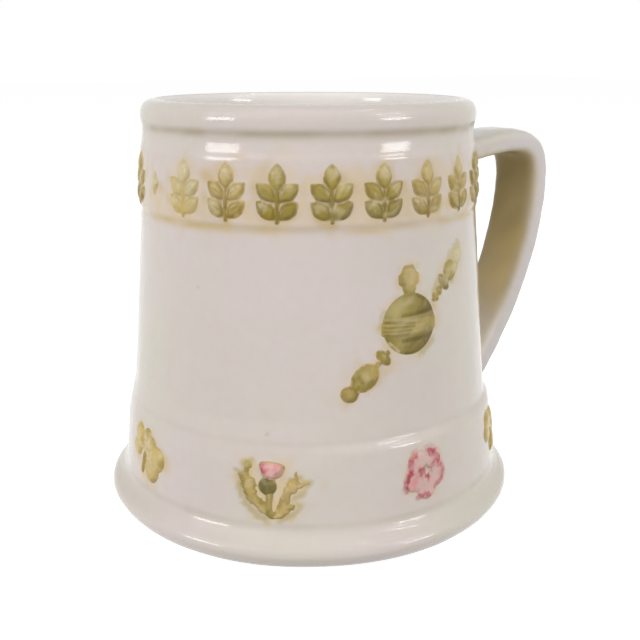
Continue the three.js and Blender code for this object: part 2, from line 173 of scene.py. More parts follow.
def softened(line, passes):
    """Corners rounded as glaze rounds them, with both ends kept"""
    line = line.copy()
    for _ in range(passes):
        line[1:-1] = (line[:-2] + 2 * line[1:-1] + line[2:]) / 4
    return line


# Body profile

def outer_profile():
    line = chained((FOOT_RING_RADIUS, 0), [
        # Foot: its rolled edge and its flare
        [(FOOT_RADIUS - 1.2, 0), (FOOT_RADIUS, 3.9)],
        [(FOOT_RADIUS, 5.3), (51.05, 6)],
        [(49.45, 7.18), (48.68, 8.4)],
        [(48.3, 9), (48.03, FOOT_TOP + 0.7)],
        # Band of emblems and its ledge
        [(BAND_HIGH_RADIUS, LEDGE)],
        [(BAND_HIGH_RADIUS, (LEDGE + BARREL) / 2), (BARREL_LOW_RADIUS, BARREL)],
        # Barrel, step and frieze
        [(BARREL_HIGH_RADIUS, FRIEZE_STEP)],
        [(FRIEZE_LOW_RADIUS, FRIEZE)],
        [(FRIEZE_HIGH_RADIUS, NECK)],
        # Shoulder with its bevel, and neck
        [(40.76, 89.2)],
        [(40.72, 89.6), (40.5, 89.8)],
        [(40.18, 92.1)],
        [(40.12, 92.6), (40.1, 93.1)],
        [(NECK_RADIUS + 0.45, RIM - 0.3)],
        # Rim and lip
        [(RIM_RADIUS, RIM - 0.3), (RIM_RADIUS, RIM + 1.8)],
        [(RIM_RADIUS, CREST), (LIP_RADIUS, CREST)],
    ])
    return softened(spaced(line, OUTSIDE_STEP), 4)


OUTER = outer_profile()


def wall_radius(level):
    return np.interp(level, OUTER[:, 1], OUTER[:, 0])


# Glaze fills the ledge to a gentle slope on the side away from the handle
FILL_LEVELS = (23.4, 32.6)
FILL_MIDDLE = math.radians(-165)
FILL_EDGE = (0.5, 0.85)
FILL_PASSES = 3

# Turning rings, as (pitch, levels where they set in, levels where they end): inside, and faint
# ones on the flare of the foot at the right front
RINGS_HEIGHT = 0.04
INNER_RINGS = (5.4, (12, 20), (86, 93))
FOOT_RINGS = (1.3, (4.6, 5.6), (8.6, 9.6))
FOOT_RINGS_MIDDLE = math.radians(-54)
FOOT_RINGS_EDGE = (0.8, 0.95)

# Unevenness of the body, and how far out of round it is
BODY_RIPPLES = [(0.05, 26, 1), (0.022, 9, 2)]
OUT_OF_ROUND = 0.07
OUT_OF_ROUND_TURN = 0.8


def glaze_fill(angle, level):
    """Extra radius where glaze has run down over the ledge"""
    slope = np.interp(level, FILL_LEVELS, wall_radius(np.array(FILL_LEVELS)))
    within = (level > FILL_LEVELS[0]) & (level < FILL_LEVELS[1])
    extra = np.where(within, slope - wall_radius(level), 0)
    return extra * smooth(*FILL_EDGE, np.cos(angle - FILL_MIDDLE))


def turned_rings(level, pitch, start, end):
    """Extra radius of rings that a turning tool leaves"""
    within = smooth(*start, level) * (1 - smooth(*end, level))
    return RINGS_HEIGHT * np.cos(level * math.tau / pitch) * within


def foot_rings(angle, level):
    beside = smooth(*FOOT_RINGS_EDGE, np.cos(angle - FOOT_RINGS_MIDDLE))
    return turned_rings(level, *FOOT_RINGS) * beside


def round_body(radius, angle, level):
    """Point of a surface of revolution, slightly uneven as a turned and glazed body is"""
    point = np.stack(np.broadcast_arrays(radius * np.cos(angle), radius * np.sin(angle), level), -1)
    uneven = rippled(point, BODY_RIPPLES)
    uneven = uneven + OUT_OF_ROUND * np.cos(2 * angle + OUT_OF_ROUND_TURN)
    grow = 1 + uneven / np.maximum(radius, 12)
    return point * np.stack(np.broadcast_arrays(grow, grow, 1.0), -1)


def body_profile():
    under = np.array([(0, BASE_RECESS), (FOOT_RING_RADIUS - 6.6, BASE_RECESS),
                      (FOOT_RING_RADIUS - 4.4, 0), (FOOT_RING_RADIUS, 0)])
    floor_radius = BARREL_LOW_RADIUS - WALL
    inside = chained((LIP_RADIUS, CREST), [
        [(MOUTH_RADIUS, CREST), (MOUTH_RADIUS, CREST - LIP_DEPTH)],
        [(FRIEZE_HIGH_RADIUS - WALL, NECK)],
        [(floor_radius, FLOOR + FLOOR_CORNER)],
        [(floor_radius, FLOOR), (floor_radius - FLOOR_CORNER, FLOOR)],
        [(0, FLOOR)],
    ])
    inside = softened(spaced(inside, INSIDE_STEP), 4)
    inside[:, 0] += turned_rings(inside[:, 1], *INNER_RINGS)
    return joined(softened(spaced(under, INSIDE_STEP), 2), OUTER, inside)


def in_scene(name, data):
    made = bpy.data.objects.new(name, data)
    bpy.context.scene.collection.objects.link(made)
    return made


def mesh_object(name, points, faces, paint, gloss=1.0):
    mesh = bpy.data.meshes.new(name)
    mesh.from_pydata((points * MM).tolist(), [], faces)
    colours = np.ones((len(points), 4), np.float32)
    colours[:, :3] = np.clip(paint, 0, 1)
    colours[:, 3] = gloss
    layer = mesh.color_attributes.new("paint", "FLOAT_COLOR", "POINT")
    layer.data.foreach_set("color", colours.ravel())
    mesh.shade_smooth()
    return in_scene(name, mesh)


def turned_faces(rings, segments):
    """Quads between rings, and a fan at each end, whose poles are the last two points"""
    index = np.arange(rings * segments).reshape(rings, segments)
    after = np.roll(index, -1, axis=1)
    quads = np.stack([index[:-1], after[:-1], after[1:], index[1:]], -1).reshape(-1, 4)
    first, last = rings * segments, rings * segments + 1
    fans = [(first, b, a) for a, b in zip(index[0].tolist(), after[0].tolist())]
    fans += [(a, b, last) for a, b in zip(index[-1].tolist(), after[-1].tolist())]
    return quads.tolist() + fans


# Outlines of the reliefs, across and up the wall

def turn(points, angle):
    sine, cosine = math.sin(angle), math.cos(angle)
    points = np.asarray(points, float)
    return points @ np.array([[cosine, sine], [-sine, cosine]])


def upwards(angle):
    """The direction up the wall, turned by an angle"""
    return np.array([-math.sin(angle), math.cos(angle)])


def leaf(base, angle, length, width):
    right = bezier((0, 0), (width, length / 2), (0, length), steps=14)
    left = bezier((0, length), (-width, length / 2), (0, 0), steps=14)
    return turn(np.concatenate([right[:-1], left[:-1]]), angle) + base


def disc(x, y, radius_x, radius_y=None, angle=0.0):
    at = np.arange(48) * math.tau / 48
    ring = np.stack([radius_x * np.cos(at), (radius_y or radius_x) * np.sin(at)], 1)
    return turn(ring, angle) + (x, y)


def cornered(points):
    """A drawn outline with its corners cut off"""
    points = np.asarray(points, float)
    after = np.roll(points, -1, axis=0)
    return np.stack([points * 0.8 + after * 0.2, points * 0.2 + after * 0.8], 1).reshape(-1, 2)


def depth_in(points, polygon):
    """How far each point (n, 2) lies inside the polygon, negative outside"""
    start, end = polygon, np.roll(polygon, -1, axis=0)
    edge = end - start
    offset = points[:, None, :] - start
    share = np.clip((offset * edge).sum(-1) / (edge ** 2).sum(-1), 0, 1)
    gap = np.sqrt(((offset - share[..., None] * edge) ** 2).sum(-1)).min(1)
    x, y = points[:, 0, None], points[:, 1, None]
    crosses = (start[:, 1] > y) != (end[:, 1] > y)
    slope = edge[:, 0] / np.where(edge[:, 1] == 0, 1e-9, edge[:, 1])
    inside = (crosses & (x < start[:, 0] + (y - start[:, 1]) * slope)).sum(1) % 2 == 1
    return np.where(inside, gap, -gap)


def near_line(points, first, last):
    first, last = np.array(first, float), np.array(last, float)
    along = last - first
    share = np.clip((points - first) @ along / (along @ along), 0, 1)
    return np.linalg.norm(points - first - share[:, None] * along, axis=1)


def near_path(points, path):
    return np.min([near_line(points, *ends) for ends in zip(path, path[1:])], axis=0)


# Glaze colours
GLAZE_BASE = srgb(213, 203, 196)
GLAZE_PINK = srgb(214, 202, 197)
GLAZE_GREEN = srgb(209, 204, 190)
# Colour of pooled glaze, also used as painted shade in corners and under the rim
POOLED_AND_SHADED = srgb(180, 167, 147)
PEACH = srgb(216, 194, 162)
WASH = srgb(200, 176, 122)
TINGE = srgb(210, 192, 148)
SPECK = srgb(96, 84, 72)
# Lighter colour of the inside walls: painted light
INNER_PAINTED_LIGHT = srgb(243, 238, 233)
HANDLE_FLANK = srgb(213, 206, 207)
# Lighter colour at the low end of the handle's inner face: painted light
HANDLE_FOOT_PAINTED_LIGHT = srgb(246, 238, 226)
HANDLE_FRINGE = srgb(222, 203, 162)
# The stain's olive and golden ends; the golden end is made extra light as painted light where the
# body shades it
HANDLE_STAIN_AND_PAINTED_LIGHT = (srgb(186, 168, 115), srgb(250, 227, 166))

# Paints of the reliefs, each as (darker low down and pooled at the edge, thin on the high places)
OLIVE = (srgb(120, 102, 34), srgb(178, 160, 92))
MID_OLIVE = (srgb(148, 124, 58), srgb(192, 172, 112))
PALE_OLIVE = (srgb(178, 160, 100), srgb(206, 194, 156))
LEAF_GREEN = (srgb(138, 122, 56), srgb(184, 164, 104))
OCHRE = (srgb(164, 140, 76), srgb(206, 182, 134))
DARK_GREEN = (srgb(108, 98, 44), srgb(138, 126, 72))
PALE_GREEN = (srgb(144, 128, 60), srgb(178, 162, 100))
TUFT = (srgb(216, 150, 146), srgb(224, 178, 168))
BLUSH = (srgb(206, 164, 157), srgb(211, 184, 175))
SHAMROCK = (srgb(184, 158, 90), srgb(206, 186, 128))
TAN = (srgb(160, 142, 80), srgb(182, 164, 110))
ORB_GREEN = (srgb(122, 108, 46), srgb(166, 152, 92))

# Colours of single brush strokes
GREEN = PALE_GREEN[1]
CRIMSON = srgb(172, 34, 66)
MAROON = srgb(132, 44, 54)
PINK = srgb(218, 136, 144)
DARK = srgb(94, 80, 26)
DEEP = srgb(118, 102, 36)
MOSS = srgb(142, 128, 92)
GOLD = srgb(198, 166, 92)
PALE = srgb(214, 200, 170)
SAND = srgb(218, 194, 152)


def form(outline, paint, height, rounding, rib=None, groove=0.1):
    return {"outline": np.asarray(outline, float), "paint": paint, "height": height,
            "rounding": rounding, "rib": rib, "groove": groove}


def stroke(points, width, colour, strength):
    """A soft brush stroke along points, or a dab at a single point"""
    points = np.asarray(points, float).reshape(-1, 2)
    if len(points) == 1:
        points = np.concatenate([points, points + 1e-3])
    return {"points": points, "width": width, "colour": colour, "strength": strength}


def strokes_of(drawn, scale=1.0, shift=(0, 0)):
    """Strokes drawn as (points, width, colour, strength), scaled and moved"""
    return [stroke(np.array(points, float) * scale + shift, *rest) for points, *rest in drawn]


LAUREL_HALF = 6.35
LOW_RELIEF = 0.6
HIGH_RELIEF = 0.85


def laurel_forms(paint):
    end_base = LAUREL_HALF - 6.1
    stem_top = end_base + 1.5
    stem = [(-0.75, -LAUREL_HALF), (0.75, -LAUREL_HALF), (0.5, stem_top), (-0.5, stem_top)]
    forms = [
        form(cornered(stem), paint, LOW_RELIEF * 0.85, 0.8),
        form(leaf((0, end_base), 0, 6.1, 3.9), paint, LOW_RELIEF, 1.3,
             ((0, end_base + 1.2), (0, end_base + 5.3))),
    ]
    for pair in range(2):
        base = 0.9 - LAUREL_HALF + pair * 3.7
        for side in (-1, 1):
            angle = side * math.radians(50)
            rib = turn([(0, 1.4), (0, 5.3)], angle) + (0, base)
            forms.append(form(leaf((0, base), angle, 6, 3.6), paint, LOW_RELIEF, 1.2, rib))
    return forms


def laurel(paint, deep):
    """Laurel spray: paler above, darker low down and on one side of the stem"""
    strokes = strokes_of([
        ([(-0.4, -6.1), (-0.3, -3.2)], 0.8, deep, 0.6),
        ([(0.2, -3), (0.1, 0.2)], 0.5, deep, 0.45),
        ([(1.2, -4.7), (3.4, -3)], 0.9, deep, 0.4),
        ([(-1.2, -4.6), (-3.2, -3)], 0.7, deep, 0.3),
        ([(-1.2, -0.9), (-3.6, 1.1)], 0.7, deep, 0.25),
        ((-2.8, -2.6), 1.1, PALE, 0.35),
        ((0.2, 4.3), 1.5, PALE, 0.4),
        ((2.7, 1.3), 1.1, PALE, 0.35),
    ])
    return {"forms": laurel_forms(paint), "strokes": strokes}


def lozenge():
    corners = [(0, -3), (1.7, 0), (0, 3), (-1.7, 0)]
    return {"forms": [form(corners, PALE_OLIVE, LOW_RELIEF, 1.0)],
            "strokes": strokes_of([((0.3, 0.4), 0.8, PALE, 0.5)])}


# Half the room that an emblem has on its band
EMBLEM = (LEDGE - FOOT_TOP) / 2 - 0.8

ROSE_STROKES = [
    ([(-2.3, 5.9), (-3.4, 4.9), (-4, 3.2), (-3.9, 1.6)], 0.7, CRIMSON, 0.85),
    ([(-3.6, 5), (-4.1, 3.4)], 0.35, MAROON, 0.5),
    ([(2.2, 6), (3.2, 5), (4.2, 3.8), (4.7, 2.8)], 1.05, CRIMSON, 0.85),
    ([(2.7, 5.8), (3.4, 5.1)], 0.4, MAROON, 0.55),
    ([(2.9, 2), (4.6, 2), (5.9, 1.1), (6.4, -0.3), (5.9, -2), (4.9, -3.3), (3.7, -3.9)],
     0.72, CRIMSON, 0.78),
    ([(6.3, 0.2), (6, -1.6)], 0.4, MAROON, 0.5),
    ([(-3, 1), (-4.6, 0.5), (-5.3, -0.8), (-5.6, -2.2), (-5.1, -3.7)], 0.6, CRIMSON, 0.72),
    ([(-4.5, 0.6), (-5, -0.6)], 0.55, MAROON, 0.6),
    ([(-5.5, -2.4), (-5.2, -3.5)], 0.5, MAROON, 0.5),
    ([(-1.5, -5.6), (0, -5), (1.1, -5.6)], 0.8, CRIMSON, 0.85),
    ([(-3.4, -3), (-2.6, -1.6)], 0.8, PINK, 0.55),
    ([(-3.7, -1.4), (-2.4, -0.6)], 0.9, PINK, 0.55),
    ((-2.6, 3.8), 1.2, PINK, 0.35),
    ((3.4, 3.6), 1.1, PINK, 0.45),
    ([(5.2, 1.2), (5.4, -1)], 0.8, PINK, 0.35),
    ((0.2, -4.2), 0.9, PINK, 0.25),
    ((-1, 0.9), 1.0, CRIMSON, 0.9),
    ((-1.1, 1.2), 0.45, MAROON, 0.7),
    ((1.3, -0.9), 0.85, CRIMSON, 0.9),
    ((1.4, -0.8), 0.4, MAROON, 0.7),
    ((-0.5, -0.9), 0.5, PINK, 0.6),
    ([(1.5, 1.6), (2.3, 1.3)], 0.4, MOSS, 0.7),
    ([(0.3, 2.2), (0.7, 2.5)], 0.4, MOSS, 0.6),
    ((2.6, 0.4), 0.4, MOSS, 0.5),
]


def rose():
    middle = np.array([0.14, 0.12]) * EMBLEM
    forms = []
    for index in range(5):
        angle = math.pi + math.tau * index / 5
        centre = middle + 0.53 * EMBLEM * upwards(angle)
        forms.append(form(disc(*centre, 0.45 * EMBLEM), BLUSH, LOW_RELIEF, 1.2))
        forms[-1]["cup"] = (centre, 0.28 * EMBLEM)
    forms.append(form(disc(*middle, 0.27 * EMBLEM), BLUSH, LOW_RELIEF, 2.0))
    forms[-1]["seeds"] = True
    strokes = strokes_of(ROSE_STROKES, 0.9, (0, 0.55))
    spilt = [(points, width, colour, strength * 0.6)
             for points, width, colour, strength in ROSE_STROKES[:10]]
    return {"forms": forms, "strokes": strokes, "ground": strokes_of(spilt, 0.9, (0, 0.55)),
            "edge": BLUSH[0]}


THISTLE_GROUND = [
    ([(-2.6, 0.8), (-2.4, -1.2), (-1.4, -3.4), (-0.6, -4.6)], 0.9, SAND, 0.85),
    ([(3.4, 1.6), (2, -1.4), (1.2, -3.2), (0.9, -5.2)], 0.85, SAND, 0.85),
    ([(-2.4, 2.6), (-3.2, 1)], 0.9, SAND, 0.6),
    ([(-7.2, 3.4), (-8, 4)], 0.5, GREEN, 0.7),
    ([(-6.2, 5.6), (-4.2, 6.4)], 0.7, GREEN, 0.6),
    ([(-7.2, 0.6), (-6.4, -2)], 0.7, GREEN, 0.6),
    ([(-5.6, -3.2), (-3.4, -5.6), (-1, -7)], 0.8, GREEN, 0.65),
    ([(-3.6, 5.2), (-3.9, 3.4), (-3.4, 1.4)], 0.6, SAND, 0.7),
    ([(6.4, 3.2), (7.2, 2.2)], 0.6, GREEN, 0.6),
    ([(8.8, 2.1), (7.4, -0.4), (5.6, -1.4)], 0.6, GREEN, 0.6),
    ([(4.4, 2.6), (4.2, 1.4)], 0.6, GREEN, 0.6),
    ([(6.6, -3.4), (5, -5.6), (2.4, -6.8)], 0.7, GREEN, 0.6),
    ([(4.6, -2.2), (5.4, -2.8)], 0.7, WASH, 0.6),
]


THISTLE_STROKES = [
    ([(-2.3, 5.4), (-1.9, 4.1)], 1.0, CRIMSON, 0.95),
    ([(-1.2, 5.4), (-0.8, 3.6)], 0.7, PINK, 0.5),
    ([(1.6, 5.2), (1.2, 3.4)], 0.8, PINK, 0.5),
    ([(2.9, 4.9), (2.5, 3.6), (2, 3)], 0.85, MAROON, 0.8),
    ((3, 5), 0.5, MOSS, 0.6),
    ([(-1.4, 3), (0.2, 2.6), (1.8, 2.7)], 0.35, MOSS, 0.6),
    ([(-1.8, 1.6), (-1.6, -0.4)], 0.8, DARK, 0.65),
    ((-0.6, 1.9), 0.5, DARK, 0.5),
    ((0, 0.4), 0.5, DARK, 0.45),
    ((0.7, 1.6), 0.6, GOLD, 0.35),
    ([(-0.9, -2.4), (-0.6, -4.8), (0.3, -6.6)], 0.5, DEEP, 0.5),
    ([(-6.9, 1.6), (-6, -1.2), (-4.9, -3.3), (-2.9, -5.1)], 0.6, DEEP, 0.45),
    ([(-5.9, 4.6), (-5.5, 3), (-5.7, 1.2)], 0.7, DEEP, 0.4),
    ([(-5.4, 3), (-4.9, 0.6)], 0.5, GOLD, 0.6),
    ((-4.6, 5.2), 0.8, GREEN, 0.5),
    ([(-4.4, -0.6), (-3.2, -2.4), (-1.9, -4.4)], 0.9, GOLD, 0.55),
    ([(-4.8, -2.4), (-4, -3.2)], 0.5, GOLD, 0.6),
    ([(1.6, -5.2), (2.4, -3), (3.6, -0.4)], 0.7, DEEP, 0.35),
    ([(3.2, -1), (4.6, 0.4), (5.2, 2.8)], 0.6, GOLD, 0.5),
    ([(4.6, -4.4), (5.9, -3.6)], 0.6, DEEP, 0.3),
    ([(6, -0.2), (7.6, 1.1), (8.6, 1.7)], 0.5, GOLD, 0.5),
    ([(5.6, 4.4), (5.6, 2.6)], 0.5, DEEP, 0.35),
    ((2.6, -5), 1.2, GOLD, 0.4),
]


def thistle():
    def sized(corners):
        return cornered(np.array(corners) * EMBLEM)

    left = [(0.05, -1), (-0.15, -0.93), (-0.46, -0.69), (-0.76, -0.43), (-0.93, -0.11),
            (-1.04, 0.17), (-1.07, 0.38), (-1.25, 0.53), (-0.95, 0.53), (-0.92, 0.84),
            (-0.84, 0.96), (-0.66, 0.93), (-0.63, 0.78), (-0.75, 0.63), (-0.73, 0.44),
            (-0.56, 0.41), (-0.5, 0.21), (-0.5, 0.02), (-0.44, -0.15), (-0.29, -0.32),
            (-0.18, -0.5), (-0.08, -0.69), (0.05, -0.84)]
    right = [(0.1, -1), (0.4, -0.99), (0.64, -0.78), (0.76, -0.63), (0.99, -0.5), (0.7, -0.47),
             (0.64, -0.32), (0.75, -0.11), (0.92, 0.02), (1.11, 0.17), (1.37, 0.32), (1.22, 0.34),
             (1.01, 0.26), (0.95, 0.41), (0.9, 0.53), (0.87, 0.82), (0.81, 0.53), (0.67, 0.38),
             (0.55, 0.23), (0.46, 0.02), (0.37, -0.21), (0.26, -0.46), (0.23, -0.69), (0.1, -0.84)]
    tuft = [(-0.25, 0.38), (0.1, 0.36), (0.32, 0.47), (0.41, 0.53), (0.53, 0.85), (0.34, 0.93),
            (0, 0.98), (-0.43, 0.95)]
    stem = [(-0.15, -0.05), (-0.14, -0.61), (-0.03, -1), (0.2, -1), (0.04, -0.61), (0.12, -0.05)]
    forms = [
        form(sized(left), LEAF_GREEN, LOW_RELIEF * 0.9, 1.2,
             np.array([(-0.1, -0.9), (-0.85, 0.3)]) * EMBLEM),
        form(sized(right), OCHRE, LOW_RELIEF * 0.9, 1.1,
             np.array([(0.12, -0.9), (0.8, 0.1)]) * EMBLEM),
        form(sized(stem), LEAF_GREEN, LOW_RELIEF, 0.6),
        form(sized(tuft), TUFT, LOW_RELIEF, 1.0),
        form(disc(-0.09 * EMBLEM, 0.14 * EMBLEM, 0.32 * EMBLEM), DARK_GREEN, HIGH_RELIEF, 1.8),
    ]
    forms[3]["hairs"] = (-0.05 * EMBLEM, -0.2 * EMBLEM)
    forms[4]["scales"] = True
    for item in forms[:2]:
        item["ragged"] = 0.17
    return {"forms": forms, "edge": GREEN, "ground": strokes_of(THISTLE_GROUND),
            "strokes": strokes_of(THISTLE_STROKES, 1.0, (0, 0.5))}


def shamrock():
    middle = np.array([-0.23, 0.2]) * EMBLEM
    foot, stem = np.array([-0.41, -0.78]) * EMBLEM, np.array([0.1, 0]) * EMBLEM
    forms = [form(cornered([middle - stem, foot - stem, foot + stem, middle + stem]),
                  SHAMROCK, LOW_RELIEF, 0.7)]
    strokes = [stroke([middle, (middle + foot) / 2, foot], 0.6, DEEP, 0.4)]
    for degrees, size in ((72, 1.1), (-33, 0.82), (-122, 1.32)):
        angle = math.radians(degrees)
        reach = size * EMBLEM
        rib_end = turn([(0, 0.72 * reach)], angle)[0] + middle
        for side in (-1, 1):
            lobe = angle + side * math.radians(21)
            centre = middle + 0.62 * reach * upwards(lobe)
            forms.append(form(disc(*centre, 0.36 * reach), SHAMROCK, LOW_RELIEF, 1.4,
                              (middle, rib_end), 0.22))
            edge = middle + 0.92 * reach * upwards(lobe)
            strokes.append(stroke([edge], 1.1, PALE_GREEN[0], 0.5))
            strokes.append(stroke([centre], 1.1, SAND, 0.3))
        forms.append(form(leaf(middle, angle, 0.85 * reach, 0.36 * reach), SHAMROCK, LOW_RELIEF,
                          1.4, (middle, rib_end), 0.22))
        strokes.append(stroke([middle, rib_end], 0.5, SAND, 0.55))
    strokes.append(stroke([middle + (0.5, 0.4), middle + (3, -0.4)], 0.9, SAND, 0.8))
    ground = [stroke([middle + (0.4, 0.4), middle + (4.6, -0.4)], 1.2, SAND, 0.85),
              stroke([middle + (-1, -1.6), foot + (0.4, 0.6)], 1.3, SAND, 0.7)]
    return {"forms": forms, "strokes": strokes, "ground": ground, "edge": GREEN}


# The orb's half width and half height
ORB = (7.1, 6.9)


def bar(half, low, high, top_half):
    return cornered([(-half, low), (half, low), (top_half, high), (-top_half, high)])


# Brush strokes on the orb, with painted light among them. The caps are darkened to the right and
# along their right edges as painted shade, and lightened to the left as painted highlights. The
# thin dark lines just above and below the belt are painted shadow, and the pale line at the lower
# left is a painted highlight.
ORB_STROKES_AND_SHADING = [
    ((-4.6, 4.2), 2.2, PALE, 0.25),
    ([(2.6, 4.6), (4.6, 3)], 2.8, DEEP, 0.7),
    ([(1.4, 6.5), (3.6, 5.7), (5.3, 4.3), (6.6, 2.2)], 0.6, DARK, 0.75),
    ([(-1.4, 2.3), (2.4, 2.4), (6.2, 2.5)], 0.6, DEEP, 0.55),
    ([(1.5, 4.4), (5, 3.2)], 3.2, DEEP, 0.45),
    ([(2.2, 3), (6, 2.8)], 0.9, DARK, 0.5),
    ([(-2.4, 2.2), (2, 2.3), (6.4, 2.5)], 0.45, DARK, 0.75),
    ([(-3, -4.4), (1, -5)], 1.6, OLIVE[1], 0.6),
    ([(0.6, -5.2), (5, -4)], 2.5, DEEP, 0.8),
    ([(-3.4, 3.4), (0.4, 4.4)], 2.2, OLIVE[1], 0.4),
    ([(2.4, -5), (5.4, -3.8)], 2.6, DEEP, 0.45),
    ([(4.4, -5), (6.2, -3.6)], 1.0, DARK, 0.5),
    ([(-1.6, -6.6), (1.8, -6.6), (4.6, -5.2), (6.5, -3)], 0.45, DARK, 0.6),
    ([(-2.4, -3.4), (2.6, -3.3), (6.4, -3.1)], 0.5, DARK, 0.75),
    ([(-5.6, -3.7), (-3.4, -5.7)], 0.4, SAND, 0.7),
    ([(-5, -4.5), (-4.3, -5.3)], 0.35, DEEP, 0.5),
    ([(-6.9, 1), (-3, 0.8), (0.6, 0.4)], 0.34, DEEP, 0.6),
    ([(-6.9, 0.1), (-3.4, -0.2), (0.4, -0.3)], 0.34, DEEP, 0.6),
    ([(-6.9, -0.8), (-4, -1), (-0.4, -1.1)], 0.32, DEEP, 0.55),
    ([(-6.7, -1.7), (-4, -1.9), (-1, -1.9)], 0.32, DEEP, 0.5),
    ([(1.4, 0.4), (4.4, 0.9)], 0.4, MOSS, 0.45),
    ([(1.2, -1), (4.8, -0.8)], 0.4, MOSS, 0.4),
    ([(3.6, 0.2), (6.8, 0.4)], 1.1, TAN[0], 0.6),
    ([(-6.6, 1.7), (-2, 1.5), (2.4, 1.7), (6.8, 2)], 0.3, SAND, 0.2),
    ([(-2.4, 11.2), (-2.2, 8.6), (-1.4, 7.2)], 0.8, DEEP, 0.45),
    ([(-1.4, 12.6), (1.8, 12.8)], 0.45, MAROON, 0.2),
    ([(0.2, 9.6), (0.8, 11)], 0.8, SAND, 0.35),
    ([(1.9, 9), (2.2, 11)], 0.6, GOLD, 0.6),
]


def orb():
    forms = [
        form(disc(0, 0, *ORB), ORB_GREEN, LOW_RELIEF, 2.6),
        form(bar(1.8, ORB[1] - 0.6, ORB[1] + 6.1, 2), TAN, LOW_RELIEF, 1.0),
        form(bar(2.8, ORB[1] + 1.4, ORB[1] + 4.7, 2.8), TAN, LOW_RELIEF, 1.0),
        form(bar(7.3, -2.7, 1.6, 7.3), TAN, HIGH_RELIEF, 0.9),
    ]
    ground = strokes_of([
        ([(-6.6, 3.4), (-7.4, 0)], 0.8, GREEN, 0.45),
        ([(3, -6.8), (6.4, -4.6)], 0.8, GREEN, 0.5),
        ([(-2.8, 8.6), (-2.6, 12.4), (2.6, 12.6)], 0.7, WASH, 0.2),
    ])
    return {"forms": forms, "strokes": strokes_of(ORB_STROKES_AND_SHADING), "ground": ground, "calm": 0.35,
            "edge": GREEN}


SLANT = math.radians(43.5)
ROD_HALF = 0.6


def sceptre(rod, beads, direction, shift):
    """Rod and beads along the slant, a bead as (distance, half length, half width, paint)"""
    start = ORB[0] + 0.6

    def placed(points):
        return turn(np.asarray(points, float) * direction + (0, shift), SLANT)

    outline = [(start, -ROD_HALF), (start + rod, -ROD_HALF), (start + rod, ROD_HALF),
               (start, ROD_HALF)]
    forms = [form(placed(outline), OLIVE, LOW_RELIEF * 0.8, 0.7)]
    strokes = []
    for at, half_length, half_width, paint in beads:
        centre = placed([(start + at, 0)])[0]
        forms.append(form(disc(*centre, half_length, half_width, SLANT), paint, LOW_RELIEF,
                          min(half_length, half_width) * 1.1))
        # A darker stroke down the lower right side of each bead: painted shade
        shade = placed([(start + at - half_length * 0.4, -direction * half_width * 0.6),
                        (start + at + half_length * 0.5, -direction * half_width * 0.6)])
        strokes.append(stroke(shade, half_width * 0.35, DEEP, 0.5))
    return {"forms": forms, "strokes": strokes}


def sceptre_lower():
    beads = [(2, 1.3, 2.3, LEAF_GREEN), (7.9, 3.7, 2.8, TAN), (12.8, 2, 2, MID_OLIVE)]
    motif = sceptre(12.8, beads, -1, 0)
    motif["strokes"] += strokes_of([
        ([(-14, -10.6), (-14.2, -12.6), (-13.4, -13.9)], 0.6, DEEP, 0.5),
        ([(-12.2, -11.6), (-12.9, -10.4)], 0.5, DARK, 0.45),
        ([(-5.6, -8.1), (-6.4, -7)], 0.5, DEEP, 0.5),
        ([(-9.2, -9.8), (-8, -8.8)], 1.2, GOLD, 0.6),
    ])
    motif["ground"] = strokes_of([
        ([(-6.9, -10), (-8.8, -11.9), (-11, -13.2)], 1.0, WASH, 0.45),
        ([(-6.2, -9.4), (-5.4, -8.6)], 0.8, PEACH, 0.5),
    ])
    return motif


def sceptre_upper():
    beads = [(1.3, 0.9, 1.4, PALE_GREEN), (2.9, 1, 1.3, PALE_GREEN), (5.3, 1.3, 2.6, LEAF_GREEN),
             (8.6, 2.4, 2.6, PALE_GREEN), (12.6, 2.5, 2.1, PALE_OLIVE)]
    motif = sceptre(12.6, beads, 1, -1.65)
    motif["strokes"] += strokes_of([
        ([(9.2, 9.4), (10.6, 9.2)], 0.8, DEEP, 0.6),
        ([(9.4, 8.6), (11.2, 7.2)], 1.5, DEEP, 0.6),
        ([(10.2, 7.7), (11.6, 7)], 0.7, DARK, 0.6),
        ((13.6, 10.2), 1.6, GREEN, 0.6),
        ((16, 12.6), 1.6, PALE, 0.5),
    ])
    motif["ground"] = strokes_of([
        ([(12.2, 11.4), (13.6, 13.4), (16.6, 15.4)], 1.2, GREEN, 0.5),
        ([(13.2, 8.2), (15.4, 10.6)], 1.1, GREEN, 0.5),
        ([(7.4, 6.8), (8.6, 8.2)], 0.8, GREEN, 0.6),
    ])
    return motif


# Reliefs as fine skins over the wall

# How far a skin goes on past its outline, how it sinks there, and how far back it reaches
SKIRT = 0.45
SKIRT_FALL = 0.35
RELIEF_SINK = 0.3
RELIEF_BACK = 1.0
GRID_MARGIN = 0.3

# Detail on the skins
FINE_HEIGHT = 0.08
SEED_TURNS = 4.6
SCALE_TURNS = 3.9
HAIR_TURNS = 30
CUP_DEPTH = 0.22
RIB_WIDTH = 0.3
RAGGED_WAVE = 1.1

# Wavelengths of the paint's unevenness
BROAD_WAVE = 5
FINE_WAVE = 1.4
STROKE_WAVE = 1.3
BARE_WAVE = 3.6


